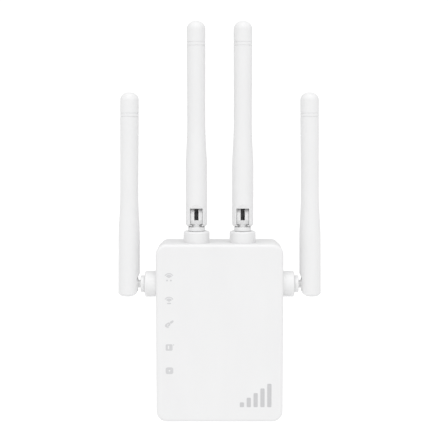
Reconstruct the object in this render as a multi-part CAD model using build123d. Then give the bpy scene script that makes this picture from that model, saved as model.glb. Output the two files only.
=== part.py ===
from build123d import *
import math
import os

# A wifi range extender that plugs straight into a wall socket and carries four swivelling antennas.
# Millimetres. The origin is the centre of the plug's end face, between the two pins. +X is to the
# right seen from the front, +Y is the way the pins point, towards the wall, and +Z is up.

# ---- Housing -------------------------------------------------------------------------------------
body_width = 60.0
body_height = 85.0
body_depth = 31.0
front_cover_depth = 17.5
corner_radius = 5.0
smallest_corner = 0.5
front_edge_radius = 1.5
rear_edge_radius = 2.0
wall = 2.0
rear_inset = 0.25  # the rear cover's step in from the front cover's outline
rear_draft = 1.5  # degrees
lip_height = 1.4  # of the front cover's lip, which enters the rear cover
lip_thickness = 0.9
lip_clearance = 0.1
seam_chamfer = 0.3
weld = 0.5  # how far a rib, boss or post runs into what it grows from
cut_over = 1.0  # how far a cutting shape runs past the surface it cuts

# ---- Fasteners and bosses ------------------------------------------------------------------------
screw_radius = 1.0
screw_hole_clearance = 0.15
screw_pilot_fit = 0.05  # the pilot hole's radius over the shank's
screw_head_radius = 1.9
screw_head_height = 1.3
screw_head_rounding = 0.5
screw_head_clearance = 0.25
screw_recess = (2.2, 0.5, 0.7)  # length, width and depth of each arm of the cross
cover_screw_inset = 5.3
cover_screw_sink = 8.0  # from the back to the head's seat
cover_screw_bite = 7.0
front_boss_radius = 2.5
rear_boss_radius = 2.9
boss_gap = 0.1  # where the covers' bosses meet
boss_rib = 1.2
board_boss_radius = 2.2
board_screw_margin = 0.6  # from the tip to the cover's face behind it

# ---- Vents and label -----------------------------------------------------------------------------
vent_width = 1.6
vent_pitch = 4.0
side_vent_count = 9
side_vent_margin = 0.6
back_vent_count = 3
back_vent_length = 22.0
back_vent_above_flange = 5.0
label_width = 34.0
label_height = 15.0
label_radius = 1.5
label_thickness = 0.2
label_recess = 0.3
label_clearance = 0.3
label_below_plug = 24.0

# ---- Plug ----------------------------------------------------------------------------------------
plug_above_bottom = 48.0
plug_rise = 17.5  # from the housing's back to the plug's end face
plug_length = 35.3
plug_thickness = 13.7
plug_end_slant = 0.75  # of the half thickness
plug_corner_radius = 3.0
plug_edge_radius = 0.8
plug_flange = 2.0
plug_clearance = 0.1
pin_spacing = 19.0
pin_radius = 2.0
pin_core_radius = 1.55
pin_length = 19.0
pin_tip_flat = 0.2
pin_sleeve_radius = 1.84
pin_sleeve_length = 10.0
pin_sleeve_seat = 3.0
pin_head_radius = 3.0
pin_head_thickness = 1.0
strip_half_width = 2.0
strip_thickness = 0.5
strip_below = 2.5
strip_above = 5.5

# ---- Antennas ------------------------------------------------------------------------------------
collar_from_front = 8.5  # the four collars' axes, behind the front face
top_antenna_spacing = 21.9
side_antenna_below_top = 19.8
collar_radius = 6.15
collar_height = 5.5
collar_edge_radius = 0.8
neck_radius = 4.5
neck_clearance = 0.1
nut_thickness = 2.6
nut_radius = 5.7
stem_radius = 3.0
stem_clearance = 0.08
stem_slit = 0.9
stem_slit_length = 5.0
barb_gap = 0.1
barb_reach = 0.35  # how far the snap barb stands out past the collar's bore
barb_length = 1.4
barb_lead_in = 0.4
shoulder_radius = 4.0
shoulder_thickness = 1.9
shoulder_gap = 0.1
shoulder_rounding = 0.3
pivot_height = 13.2  # of the fold axis above the housing
tongue_width = 5.6
tongue_radius = 3.0
tongue_flat = 2.4  # of full thickness below the fold axis
tongue_foot = 4.4  # where the tongue ends on its waist, below the fold axis
waist_radius = 1.85  # of the round waist between the tongue and the shoulder
tongue_gap = 0.15  # on each side of the tongue
tongue_end_gap = 0.3  # around the tongue's rounded end
cable_radius = 0.685
cable_clearance = 0.165
cable_end_gap = 0.1
cable_bend = 1.2
cable_slot_depth = 2.4  # below the fold axis
cable_slot_half = 1.05  # of its width, through the tongue
trunnion_radius = 1.2
trunnion_length = 1.2
trunnion_clearance = 0.05
trunnion_end_gap = 0.2
foot_gap = 0.15  # between the rod's foot and the shoulder
rod_base_radius = 5.05
rod_waist_radius = 4.27
rod_tip_radius = 4.35
rod_base_top = 21.5  # heights above the fold axis
rod_waist_bottom = 42.0
rod_waist_top = 56.0
cap_bottom = 79.4
rod_top = 90.7
tip_rounding = 3.8
groove_half_width = 0.22
cap_band = 1.55  # between the two grooves
rod_bore_radius = 2.9
rod_floor = 2.2  # solid plastic between the fork and the bore
relief_height = 2.0
relief_depth = 1.0
foot_chamfer = 1.05
cap_spigot = 6.0
cap_clearance = 0.05
radiator_clearance = 0.3
radiator_wall = 0.35
radiator_end_gap = 1.0
radiator_sleeve_share = 0.45  # of the bore's length that the brass sleeve fills
whip_radius = 0.9

# ---- Main board and what it carries --------------------------------------------------------------
main_board_from_front = 6.2
main_board_thickness = 1.2
main_board_side_margin = 5.0
main_board_top_margin = 5.0
main_board_foot = 1.0  # above the bottom wall's inner face
board_edge_clearance = 0.5
board_screw_inset = (7.5, 4.0)  # from the board's side and top edges
jack_screw_gap = 4.5
jack_width = 15.9
jack_height = 13.4
jack_length = 18.0
jack_recess = 0.4
jack_rounding = 0.4
jack_opening_clearance = 0.25
port_width = 11.9
port_height = 6.9
port_depth = 13.5
port_above_board = 4.3
latch_width = 6.2
latch_height = 2.2
key_width = 3.1
key_height = 1.2
contact_count = 8
contact_pitch = 1.02
contact_width = 0.35
contact_reach = 1.9
contact_start = 3.0
contact_end = 9.3
contact_thickness = 0.35
switch_depth = 3.2
switch_length = 6.0
switch_height = 3.6
plunger_radius = 0.75
plunger_clearance = 0.08
plunger_socket = 2.0
plunger_reach = 1.1
button_travel = 0.3
button_overtravel = 0.3
button_above_bottom = 31.0
button_height = 3.6
button_length = 8.0
button_clearance = 0.15
button_rounding = 0.3
button_flange = 0.8
button_flange_thickness = 1.0
button_flange_gap = 0.05
button_stem_radius = 1.2
reset_below_button = 10.0
reset_hole_radius = 0.9
indicator_from_left = 6.3
indicator_bottom = 24.9
indicator_pitch = 11.2
indicator_count = 5
led_from_edge = 2.5
led_size = (3.0, 1.6, 0.8)
light_skin = 0.6  # left in front of each light post
light_post = 2.4
light_post_clearance = 0.15
light_spine_gap = 1.0
light_spine_thickness = 1.0
light_foot_radius = 1.2
light_foot_gap = 0.2
chip_height = 1.1
processor = (-6.0, -2.5, 12.0, 12.0)  # x and z from the board's middle, width and height
other_chips = [(9.0, -0.5, 9.0, 9.0), (-6.0, -14.0, 10.0, 6.5), (8.0, -12.0, 5.2, 4.6)]
heat_sink_overhang = 1.0
heat_sink_base = 1.2
fin_count = 5
fin_thickness = 1.2
heat_sink_height = 4.4
shield_size = (26.0, 11.0, 2.4)
shield_above_middle = 13.5
shield_corner = 1.0
shield_wall = 0.3
connector_radius = 1.5
connector_height = 1.8
connector_tail = (1.8, 2.2)
lead_radius = 0.57
top_lead_shift = 5.0
top_lead_drop = 9.0
side_lead_run = (3.3, 3.0)
side_lead_drop = 8.0

# ---- Power board and what it carries -------------------------------------------------------------
power_board_gap = 4.2  # to the rear cover's inner face
power_board_thickness = 1.6
power_board_side_margin = 6.0
power_board_top_margin = 5.0
power_board_above_jack = 8.0
power_board_corner = 1.5
power_screw_inset = 3.0
power_part_height = 8.0
insulation_thickness = 0.3
insulation_gap = 0.2
insulation_top_margin = 9.0
transformer_at = (-6.0, 6.0)  # x and z from the power board's middle
transformer_core = (13.2, 13.6)
transformer_leg = 2.3
transformer_winding = (8.2, 16.4, 6.0)
transformer_feet = 1.4
transformer_rounding = 1.2
input_capacitors_x = (-12.5, -3.5)
input_capacitor = (4.0, 12.0)  # radius and length
input_capacitors_below = 15.5
output_capacitors_z = (2.0, 11.0)
output_capacitor_x = 9.5
output_capacitor_radius = 3.15
can_rounding = 0.5
fuse_at = (15.5, -16.0)
fuse_size = (1.8, 10.0)
choke_at = (6.5, -16.0)
choke_size = (3.4, 7.5, 2.6, 1.1)  # radius, height, waist radius and flange
surge_disc_at = (16.3, -2.0)
surge_disc_size = (3.6, 2.6, 3.9)  # radius, thickness and centre above the board
rectifier = (17.0, 9.0, 5.0, 6.4, 1.5)
switching_chip = (-17.5, 4.0, 5.0, 6.2, 1.6)
header_below_top = 5.4
header_pins = 3
header_pitch = 2.54
header_pin = 0.64
header_block = 2.5

# ---- Worked-out places ---------------------------------------------------------------------------
back_y = -plug_rise
front_y = back_y - body_depth
seam_y = front_y + front_cover_depth
inner_front_y = front_y + wall
inner_back_y = back_y - wall
bottom_z = -plug_above_bottom
top_z = bottom_z + body_height
half_width = body_width / 2
middle_z = bottom_z + body_height / 2
inner_x = half_width - wall
collar_y = front_y + collar_from_front
side_z = top_z - side_antenna_below_top
nut_inner = wall + nut_thickness  # depth of the nuts' faces inside the housing's outline
stem_end = -(nut_inner + barb_gap + barb_length)
cable_bore = cable_radius + cable_clearance
fork_half = tongue_width / 2 + tongue_gap
roof = tongue_radius + tongue_end_gap
shoulder_bottom = collar_height + shoulder_gap
shoulder_top = shoulder_bottom + shoulder_thickness
rod_foot = pivot_height - shoulder_top - foot_gap  # the foot's reach below the fold axis
bore_floor = roof + rod_floor

board_front_y = front_y + main_board_from_front
board_back_y = board_front_y + main_board_thickness
board_half_width = inner_x - main_board_side_margin
board_bottom_z = bottom_z + wall + main_board_foot
board_top_z = top_z - wall - main_board_top_margin
board_middle_z = (board_bottom_z + board_top_z) / 2
jack_bottom_z = bottom_z + jack_recess
jack_top_z = jack_bottom_z + jack_length
port_front_y = board_back_y + port_above_board
port_back_y = port_front_y + port_height
port_top_z = jack_bottom_z + port_depth
button_y = board_back_y + switch_height / 2
button_z = bottom_z + button_above_bottom
reset_z = button_z - reset_below_button
flange_front_x = inner_x - button_flange_gap
flange_back_x = flange_front_x - button_flange_thickness
plunger_end_x = board_half_width + plunger_reach
indicator_x = -half_width + indicator_from_left
indicator_zs = [bottom_z + indicator_bottom + i * indicator_pitch for i in range(indicator_count)]
led_x = -board_half_width + led_from_edge
led_front_y = board_front_y - led_size[2]

flange_y = inner_back_y - plug_flange
pin_head_y = flange_y - pin_head_thickness
pin_xs = (-pin_spacing / 2, pin_spacing / 2)
power_back_y = inner_back_y - power_board_gap
power_front_y = power_back_y - power_board_thickness
power_half_width = inner_x - power_board_side_margin
power_bottom_z = jack_top_z + power_board_above_jack
power_top_z = top_z - nut_inner - power_board_top_margin
power_middle_z = (power_bottom_z + power_top_z) / 2
insulation_back_y = power_front_y - power_part_height - insulation_gap
cover_screw_seat_y = back_y - cover_screw_sink
front_boss_end_y = seam_y - weld
header_z = power_top_z - header_below_top

cover_screws_at = [
    (side * (half_width - cover_screw_inset), z)
    for side in (-1, 1)
    for z in (bottom_z + cover_screw_inset, top_z - cover_screw_inset)
]
board_screws_at = [
    (side * (board_half_width - board_screw_inset[0]), z)
    for side in (-1, 1)
    for z in (jack_top_z + jack_screw_gap, board_top_z - board_screw_inset[1])
]
power_screws_at = [
    (-power_half_width + power_screw_inset, power_bottom_z + power_screw_inset),
    (power_half_width - power_screw_inset, power_top_z - power_screw_inset),
]

# Each antenna is modelled in its own frame: +Z out of the housing along the collar, -Y the way it
# folds, +X along the fold axis, and the origin on the housing's outer face.
antenna_planes = {
    "top_left": Plane((-top_antenna_spacing / 2, collar_y, top_z), x_dir=(1, 0, 0), z_dir=(0, 0, 1)),
    "top_right": Plane((top_antenna_spacing / 2, collar_y, top_z), x_dir=(1, 0, 0), z_dir=(0, 0, 1)),
    "side_left": Plane((-half_width, collar_y, side_z), x_dir=(0, 1, 0), z_dir=(-1, 0, 0)),
    "side_right": Plane((half_width, collar_y, side_z), x_dir=(0, -1, 0), z_dir=(1, 0, 0)),
}
folded_antennas = ("side_left", "side_right")
rest_fold = 90.6  # degrees, of the two side antennas


# ---- Helpers -------------------------------------------------------------------------------------
def block(x, y, z):
    """A box between two values on each axis, in either order."""
    spans = [sorted(pair) for pair in (x, y, z)]
    sizes = [span[1] - span[0] for span in spans]
    centre = [sum(span) / 2 for span in spans]
    return Pos(*centre) * Box(*sizes)


def bar(start, end, radius):
    """A cylinder from one point to another."""
    axis = Vector(*end) - Vector(*start)
    plane = Plane(origin=start, z_dir=axis.normalized())
    return plane * Cylinder(radius, axis.length, align=(Align.CENTER, Align.CENTER, Align.MIN))


def along_y(x, z, y_from, y_to, radius):
    """A cylinder along Y between two depths."""
    return bar((x, min(y_from, y_to), z), (x, max(y_from, y_to), z), radius)


def plate(outline, y_from, y_to, draft=0.0):
    """An outline drawn in X and Z, made solid from one depth back to another."""
    facing_wall = Plane((0, y_from, 0), x_dir=(1, 0, 0), z_dir=(0, 1, 0))
    return extrude(facing_wall * Rot(180, 0, 0) * outline, amount=y_to - y_from, dir=(0, 1, 0), taper=draft)


def shell_block(inset, y_from, y_to, draft=0.0):
    """The housing's rounded block, moved in by inset, between two depths."""
    radius = max(corner_radius - inset, smallest_corner)
    outline = RectangleRounded(body_width - 2 * inset, body_height - 2 * inset, radius)
    return plate(Pos(0, middle_z) * outline, y_from, y_to, draft)


def group(shapes):
    """Several separate solids as one compound."""
    return Compound(children=[solid for shape in shapes for solid in shape.solids()])


# ---- Covers --------------------------------------------------------------------------------------
def jack_opening():
    """The space that the socket needs in the bottom wall."""
    reach = jack_width / 2 + jack_opening_clearance
    return block(
        (-reach, reach),
        (board_back_y - jack_opening_clearance, board_back_y + jack_height + jack_opening_clearance),
        (bottom_z - cut_over, bottom_z + wall + cut_over),
    )


def racetrack_along_x(grow, x_from, x_to):
    """The WPS button's outline, grown by grow, between two values of X."""
    outline = SlotOverall(button_length + 2 * grow, button_height + 2 * grow, rotation=90)
    plane = Plane((x_from, button_y, button_z), x_dir=(0, 1, 0), z_dir=(1, 0, 0))
    return extrude(plane * outline, amount=x_to - x_from)


def front_cover():
    outer = shell_block(0, front_y, seam_y)
    outer = fillet(outer.faces().sort_by(Axis.Y)[0].edges(), front_edge_radius)
    outer = chamfer(outer.faces().sort_by(Axis.Y)[-1].edges(), seam_chamfer)
    lip = shell_block(wall - lip_thickness, seam_y - weld, seam_y + lip_height)
    cover = outer + lip - shell_block(wall, inner_front_y, seam_y + lip_height + cut_over)
    for x, z in cover_screws_at:
        cover += along_y(x, z, inner_front_y - weld, front_boss_end_y, front_boss_radius)
        rib_x = (x, math.copysign(inner_x + weld, x))
        rib_z = (z - boss_rib / 2, z + boss_rib / 2)
        cover += block(rib_x, (inner_front_y - weld, front_boss_end_y), rib_z)
        pilot_end = front_boss_end_y - cover_screw_bite - board_screw_margin
        cover -= along_y(x, z, pilot_end, seam_y + cut_over, screw_radius + screw_pilot_fit)
    for x, z in board_screws_at:
        cover += along_y(x, z, inner_front_y - weld, board_front_y, board_boss_radius)
        cover -= along_y(x, z, inner_front_y, board_front_y + cut_over, screw_radius + screw_pilot_fit)
    post_half = light_post / 2 + light_post_clearance
    for z in indicator_zs:
        cover -= block(
            (indicator_x - post_half, indicator_x + post_half),
            (front_y + light_skin, inner_front_y + cut_over),
            (z - post_half, z + post_half),
        )
    for plane in antenna_planes.values():
        cover -= plane * Pos(0, 0, -wall / 2) * Cylinder(neck_radius + neck_clearance, wall + 2 * cut_over)
    cover -= jack_opening()
    cover -= racetrack_along_x(button_clearance, inner_x - cut_over, half_width + cut_over)
    pinhole_ends = [(x, button_y, reset_z) for x in (inner_x - cut_over, half_width + cut_over)]
    return cover - bar(*pinhole_ends, reset_hole_radius)


def plug_prism(grow, y_from, y_to):
    """The plug's long outline with slanted ends, grown by grow, between two depths."""
    half_length = plug_length / 2 + grow
    half_thickness = plug_thickness / 2 + grow
    shoulder = half_length - half_thickness * plug_end_slant
    corners = [(half_length, 0), (shoulder, half_thickness), (-shoulder, half_thickness)]
    corners += [(-x, -z) for x, z in corners]
    outline = make_face(Polyline(*corners, close=True))
    return plate(fillet(outline.vertices(), plug_corner_radius), y_from, y_to)


def side_vents():
    """Slots through both side walls of the rear cover."""
    first_z = middle_z - (side_vent_count - 1) * vent_pitch / 2
    slot_y = (seam_y + lip_height + wall, back_y - rear_edge_radius - side_vent_margin)
    slots = []
    for index in range(side_vent_count):
        z = first_z + index * vent_pitch
        for side in (-1, 1):
            slot_x = (side * (inner_x - 2 * cut_over), side * (half_width + cut_over))
            slots.append(block(slot_x, slot_y, (z - vent_width / 2, z + vent_width / 2)))
    return slots


def back_vents():
    """A stack of slots through the back, above the plug."""
    first_z = plug_thickness / 2 + plug_flange + back_vent_above_flange
    outline = SlotOverall(back_vent_length, vent_width)
    return [
        plate(Pos(0, first_z + index * vent_pitch) * outline, inner_back_y - cut_over, back_y + cut_over)
        for index in range(back_vent_count)
    ]


def rear_cover():
    draft_inset = (back_y - seam_y) * math.tan(math.radians(rear_draft))
    outer = shell_block(rear_inset, seam_y, back_y, rear_draft)
    outer = fillet(outer.faces().sort_by(Axis.Y)[-1].edges(), rear_edge_radius)
    outer = chamfer(outer.faces().sort_by(Axis.Y)[0].edges(), seam_chamfer)
    cover = outer - shell_block(wall + rear_inset + draft_inset, seam_y - cut_over, inner_back_y)
    rebate_inset = wall - lip_thickness - lip_clearance
    cover -= shell_block(rebate_inset, seam_y - cut_over, seam_y + lip_height + lip_clearance)
    for x, z in cover_screws_at:
        boss_start_y = front_boss_end_y + boss_gap
        cover += along_y(x, z, boss_start_y, inner_back_y + weld, rear_boss_radius)
        cover -= along_y(x, z, boss_start_y - cut_over, back_y, screw_radius + screw_hole_clearance)
        head_hole_radius = screw_head_radius + screw_head_clearance
        cover -= along_y(x, z, cover_screw_seat_y, back_y + cut_over, head_hole_radius)
    for x, z in power_screws_at:
        cover += along_y(x, z, power_back_y, inner_back_y + weld, board_boss_radius)
        cover -= along_y(x, z, power_back_y - cut_over, inner_back_y, screw_radius + screw_pilot_fit)
    for slot in side_vents() + back_vents():
        cover -= slot
    cover -= plug_prism(plug_clearance, inner_back_y - cut_over, back_y + cut_over)
    recess = RectangleRounded(label_width, label_height, label_radius)
    cover -= plate(Pos(0, -label_below_plug) * recess, back_y - label_recess, back_y + cut_over)
    return cover - jack_opening()


def rating_label():
    """A blank sticker in its recess on the back."""
    width, height = label_width - 2 * label_clearance, label_height - 2 * label_clearance
    outline = Pos(0, -label_below_plug) * RectangleRounded(width, height, label_radius - label_clearance)
    return plate(outline, back_y - label_recess, back_y - label_recess + label_thickness)


# ---- Plug ----------------------------------------------------------------------------------------
def plug_block():
    body = plug_prism(0, inner_back_y - weld, 0)
    body = fillet(body.faces().sort_by(Axis.Y)[-1].edges(), plug_edge_radius)
    body += plug_prism(plug_flange, flange_y, inner_back_y)
    for x in pin_xs:
        body -= along_y(x, 0, -pin_sleeve_seat, cut_over, pin_sleeve_radius)
        body -= along_y(x, 0, flange_y - cut_over, cut_over, pin_core_radius)
    return body


def plug_pins():
    """Two round pins, each thinner under its insulating sleeve, with a flat head inside."""
    pins = []
    for x in pin_xs:
        tip = along_y(x, 0, pin_sleeve_length, pin_length, pin_radius)
        tip = fillet(tip.edges().sort_by(Axis.Y)[-1], pin_radius - pin_tip_flat)
        core = along_y(x, 0, flange_y, pin_sleeve_length, pin_core_radius)
        head = along_y(x, 0, pin_head_y, flange_y, pin_head_radius)
        pins.append(core + tip + head)
    return group(pins)


def pin_sleeves():
    sleeves = []
    for x in pin_xs:
        tube = along_y(x, 0, -pin_sleeve_seat, pin_sleeve_length, pin_sleeve_radius)
        sleeves.append(tube - along_y(x, 0, -pin_length, pin_length, pin_core_radius))
    return group(sleeves)


def pin_contacts():
    """Two bent strips that join the pins' heads to the power board."""
    strips = []
    for x in pin_xs:
        width = (x - strip_half_width, x + strip_half_width)
        strip = block(width, (pin_head_y - strip_thickness, pin_head_y), (-strip_below, strip_above))
        foot = block(width, (power_back_y, pin_head_y), (strip_above - strip_thickness, strip_above))
        strips.append(strip + foot)
    return group(strips)


# ---- Power supply --------------------------------------------------------------------------------
def power_board():
    outline = RectangleRounded(2 * power_half_width, power_top_z - power_bottom_z, power_board_corner)
    board = plate(Pos(0, power_middle_z) * outline, power_front_y, power_back_y)
    through = (power_front_y - cut_over, power_back_y + cut_over)
    for x, z in power_screws_at:
        board -= along_y(x, z, *through, screw_radius + screw_hole_clearance)
    return board


def on_power_board(x, z, width, length, height, lift=0.0):
    """A block standing on the power board's front face, placed from the board's middle."""
    z = power_middle_z + z
    y = power_front_y - lift
    return block((x - width / 2, x + width / 2), (y - height, y), (z - length / 2, z + length / 2))


def transformer():
    """A ferrite core around a taped winding, with the bobbin's two feet."""
    x, z = transformer_at
    width, length, height = transformer_winding
    lift = (power_part_height - height) / 2
    core = on_power_board(x, z, *transformer_core, power_part_height)
    window_width = transformer_core[0] - 2 * transformer_leg
    winding = on_power_board(x, z, width, length, height, lift)
    winding = fillet(winding.edges().filter_by(Axis.Z), transformer_rounding)
    core -= on_power_board(x, z, window_width, length, height + 2 * tongue_gap, lift - tongue_gap)
    for side in (-1, 1):
        foot_z = z + side * (length - transformer_feet) / 2
        winding += on_power_board(x, foot_z, width, transformer_feet, lift + transformer_rounding)
    return group([core, winding])


def power_capacitors():
    """Two input capacitors lying down and two output capacitors standing up."""
    radius, length = input_capacitor
    z = power_middle_z - input_capacitors_below
    y = power_front_y - radius
    cans = []
    for x in input_capacitors_x:
        lying = bar((x, y, z - length / 2), (x, y, z + length / 2), radius)
        cans.append(fillet(lying.edges(), can_rounding))
    for height in output_capacitors_z:
        place = (output_capacitor_x, power_middle_z + height)
        standing = along_y(*place, power_front_y - power_part_height, power_front_y, output_capacitor_radius)
        cans.append(fillet(standing.edges().sort_by(Axis.Y)[0], can_rounding))
    return group(cans)


def choke():
    """A ferrite bobbin, waisted where its wire sits."""
    radius, height, waist, flange = choke_size
    x, z = choke_at[0], power_middle_z + choke_at[1]
    bobbin = along_y(x, z, power_front_y - height, power_front_y, radius)
    groove = along_y(x, z, power_front_y - height + flange, power_front_y - flange, radius + cut_over)
    return bobbin - groove + along_y(x, z, power_front_y - height + flange, power_front_y - flange, waist)


def power_small_parts():
    """Fuse, choke, surge disc, rectifier and switching chip."""
    fuse_radius, fuse_length = fuse_size
    fuse_y = power_front_y - fuse_radius
    fuse_z = power_middle_z + fuse_at[1]
    fuse_ends = [(fuse_at[0], fuse_y, fuse_z + side * fuse_length / 2) for side in (-1, 1)]
    disc_radius, disc_thickness, disc_height = surge_disc_size
    disc_y, disc_z = power_front_y - disc_height, power_middle_z + surge_disc_at[1]
    disc_ends = [(surge_disc_at[0] + side * disc_thickness / 2, disc_y, disc_z) for side in (-1, 1)]
    chips = [on_power_board(*rectifier), on_power_board(*switching_chip)]
    return group([bar(*fuse_ends, fuse_radius), choke(), bar(*disc_ends, disc_radius)] + chips)


def insulation_sheet():
    """A stiff film over the power parts, between them and the main board."""
    bottom, top = power_bottom_z, power_top_z - insulation_top_margin
    outline = RectangleRounded(2 * power_half_width, top - bottom, power_board_corner)
    sheet_front_y = insulation_back_y - insulation_thickness
    return plate(Pos(0, (bottom + top) / 2) * outline, sheet_front_y, insulation_back_y)


def board_header():
    """A pin header that joins the power board to the main board."""
    half = header_pins * header_pitch / 2
    across = (header_z - header_block / 2, header_z + header_block / 2)
    header = block((-half, half), (board_back_y, board_back_y + header_block), across)
    header += block((-half, half), (power_front_y - header_block, power_front_y), across)
    for index in range(header_pins):
        x = (index - (header_pins - 1) / 2) * header_pitch
        pin_x = (x - header_pin / 2, x + header_pin / 2)
        pin_z = (header_z - header_pin / 2, header_z + header_pin / 2)
        header += block(pin_x, (board_back_y, power_front_y), pin_z)
    return header


# ---- Main board ----------------------------------------------------------------------------------
def main_board():
    board = block(
        (-board_half_width, board_half_width), (board_front_y, board_back_y), (board_bottom_z, board_top_z)
    )
    through = (board_front_y - cut_over, board_back_y + cut_over)
    for x, z in cover_screws_at:
        board -= along_y(x, z, *through, front_boss_radius + board_edge_clearance)
    for x, z in board_screws_at:
        board -= along_y(x, z, *through, screw_radius + screw_hole_clearance)
    return board


def lan_jack():
    """A board-mounted modular socket, open towards the bottom."""
    body = block(
        (-jack_width / 2, jack_width / 2),
        (board_back_y, board_back_y + jack_height),
        (jack_bottom_z, jack_top_z),
    )
    body = fillet(body.edges().filter_by(Axis.Z), jack_rounding)
    deep = (jack_bottom_z - cut_over, port_top_z)
    latch_y = port_front_y - latch_height
    body -= block((-port_width / 2, port_width / 2), (port_front_y, port_back_y), deep)
    body -= block((-latch_width / 2, latch_width / 2), (latch_y, port_front_y), deep)
    return body - block((-key_width / 2, key_width / 2), (latch_y - key_height, latch_y), deep)


def jack_contacts():
    """Eight sprung wires that slant into the socket from its rear wall."""
    start_z, end_z = jack_bottom_z + contact_start, jack_bottom_z + contact_end
    tip_y = port_back_y - contact_reach
    side_view = make_face(
        Polyline(
            (port_back_y, start_z),
            (tip_y, end_z - contact_thickness),
            (tip_y, end_z),
            (tip_y + contact_thickness, end_z),
            (port_back_y, start_z + 3 * contact_thickness),
            close=True,
        )
    )
    wire = extrude(Plane.YZ * side_view, amount=contact_width / 2, both=True)
    first_x = -(contact_count - 1) * contact_pitch / 2
    return group([Pos(first_x + index * contact_pitch, 0, 0) * wire for index in range(contact_count)])


def on_main_board(x, z, width, length, height, lift=0.0):
    """A block standing on the main board's rear face, placed from the board's middle."""
    z = board_middle_z + z
    y = board_back_y + lift
    return block((x - width / 2, x + width / 2), (y, y + height), (z - length / 2, z + length / 2))


def processor_chips():
    """Processor, radio chip, memory and flash."""
    return group([on_main_board(*chip, chip_height) for chip in [processor] + other_chips])


def heat_sink():
    """A finned block on the processor."""
    x, z, width, length = processor
    width, length = width + 2 * heat_sink_overhang, length + 2 * heat_sink_overhang
    sink = on_main_board(x, z, width, length, heat_sink_base, lift=chip_height)
    pitch = (width - fin_thickness) / (fin_count - 1)
    for index in range(fin_count):
        fin_x = x - (width - fin_thickness) / 2 + index * pitch
        sink += on_main_board(fin_x, z, fin_thickness, length, heat_sink_height, lift=chip_height)
    return sink


def shield_can():
    """A pressed metal lid over the radio's front end, open underneath."""
    width, length, height = shield_size
    can = on_main_board(0, shield_above_middle, width, length, height)
    can = fillet(can.edges().filter_by(Axis.Y), shield_corner)
    inside = (width - 2 * shield_wall, length - 2 * shield_wall, height - shield_wall)
    return can - on_main_board(0, shield_above_middle, *inside)


def indicator_leds():
    led = block(
        (led_x - led_size[0] / 2, led_x + led_size[0] / 2),
        (led_front_y, board_front_y),
        (-led_size[1] / 2, led_size[1] / 2),
    )
    return group([Pos(0, 0, z) * led for z in indicator_zs])


def light_guide():
    """A clear spine with a post behind each pictogram and a foot in front of each lamp."""
    half = light_post / 2
    spine_front_y = inner_front_y + light_spine_gap
    spine_back_y = spine_front_y + light_spine_thickness
    guide = block(
        (indicator_x - half, led_x + light_foot_radius),
        (spine_front_y, spine_back_y),
        (indicator_zs[0] - half, indicator_zs[-1] + half),
    )
    for z in indicator_zs:
        post_y = (front_y + light_skin, spine_front_y + light_spine_thickness / 2)
        guide += block((indicator_x - half, indicator_x + half), post_y, (z - half, z + half))
        foot_start_y = spine_back_y - light_spine_thickness / 2
        guide += along_y(led_x, z, foot_start_y, led_front_y - light_foot_gap, light_foot_radius)
    return guide


# ---- Buttons -------------------------------------------------------------------------------------
def button_switches():
    """Two side-pressed switches without their plungers."""
    switches = []
    for z in (button_z, reset_z):
        body = block(
            (board_half_width - switch_depth, board_half_width),
            (board_back_y, board_back_y + switch_height),
            (z - switch_length / 2, z + switch_length / 2),
        )
        socket_end = (board_half_width - plunger_socket, button_y, z)
        mouth = (board_half_width + cut_over, button_y, z)
        switches.append(body - bar(socket_end, mouth, plunger_radius + plunger_clearance))
    return group(switches)


def switch_plunger(z):
    inner_end_x = board_half_width - plunger_socket + button_travel + button_overtravel
    return bar((inner_end_x, button_y, z), (plunger_end_x, button_y, z), plunger_radius)


def wps_button():
    """The cap that shows in the right wall, with a flange behind the wall and a stem to its switch."""
    cap = racetrack_along_x(0, flange_back_x, half_width)
    cap = fillet(cap.faces().sort_by(Axis.X)[-1].edges(), button_rounding)
    cap += racetrack_along_x(button_flange, flange_back_x, flange_front_x)
    stem_ends = [(x, button_y, button_z) for x in (plunger_end_x, flange_back_x + weld)]
    return cap + bar(*stem_ends, button_stem_radius)


# ---- Screws --------------------------------------------------------------------------------------
def screw(x, z, seat_y, tip_y):
    """A pan-head screw along Y, with a cross recess."""
    outward = math.copysign(1, seat_y - tip_y)
    head_y = seat_y + outward * screw_head_height
    head = along_y(x, z, seat_y, head_y, screw_head_radius)
    rim = head.edges().sort_by(Axis.Y)[-1 if outward > 0 else 0]
    head = fillet(rim, screw_head_rounding)
    length, width, depth = screw_recess
    for arm in ((length, width), (width, length)):
        head -= Pos(x, head_y, z) * Box(arm[0], 2 * depth, arm[1])
    return head + along_y(x, z, seat_y, tip_y, screw_radius)


def cover_screws():
    tip_y = front_boss_end_y - cover_screw_bite
    return group([screw(x, z, cover_screw_seat_y, tip_y) for x, z in cover_screws_at])


def board_screws():
    main = [screw(x, z, board_back_y, inner_front_y + board_screw_margin) for x, z in board_screws_at]
    power = [screw(x, z, power_front_y, inner_back_y - board_screw_margin) for x, z in power_screws_at]
    return group(main + power)


# ---- One antenna, in its own frame ---------------------------------------------------------------
def antenna_collar():
    body = Cylinder(collar_radius, collar_height, align=(Align.CENTER, Align.CENTER, Align.MIN))
    body = fillet(body.edges().sort_by(Axis.Z)[-1], collar_edge_radius)
    body += Cylinder(neck_radius, nut_inner, align=(Align.CENTER, Align.CENTER, Align.MAX))
    return body - Cylinder(stem_radius + stem_clearance, 3 * (collar_height + nut_inner))


def collar_nut():
    nut = Pos(0, 0, -wall) * extrude(RegularPolygon(nut_radius, 6), amount=-nut_thickness)
    return nut - Cylinder(neck_radius, 3 * nut_inner)


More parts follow.
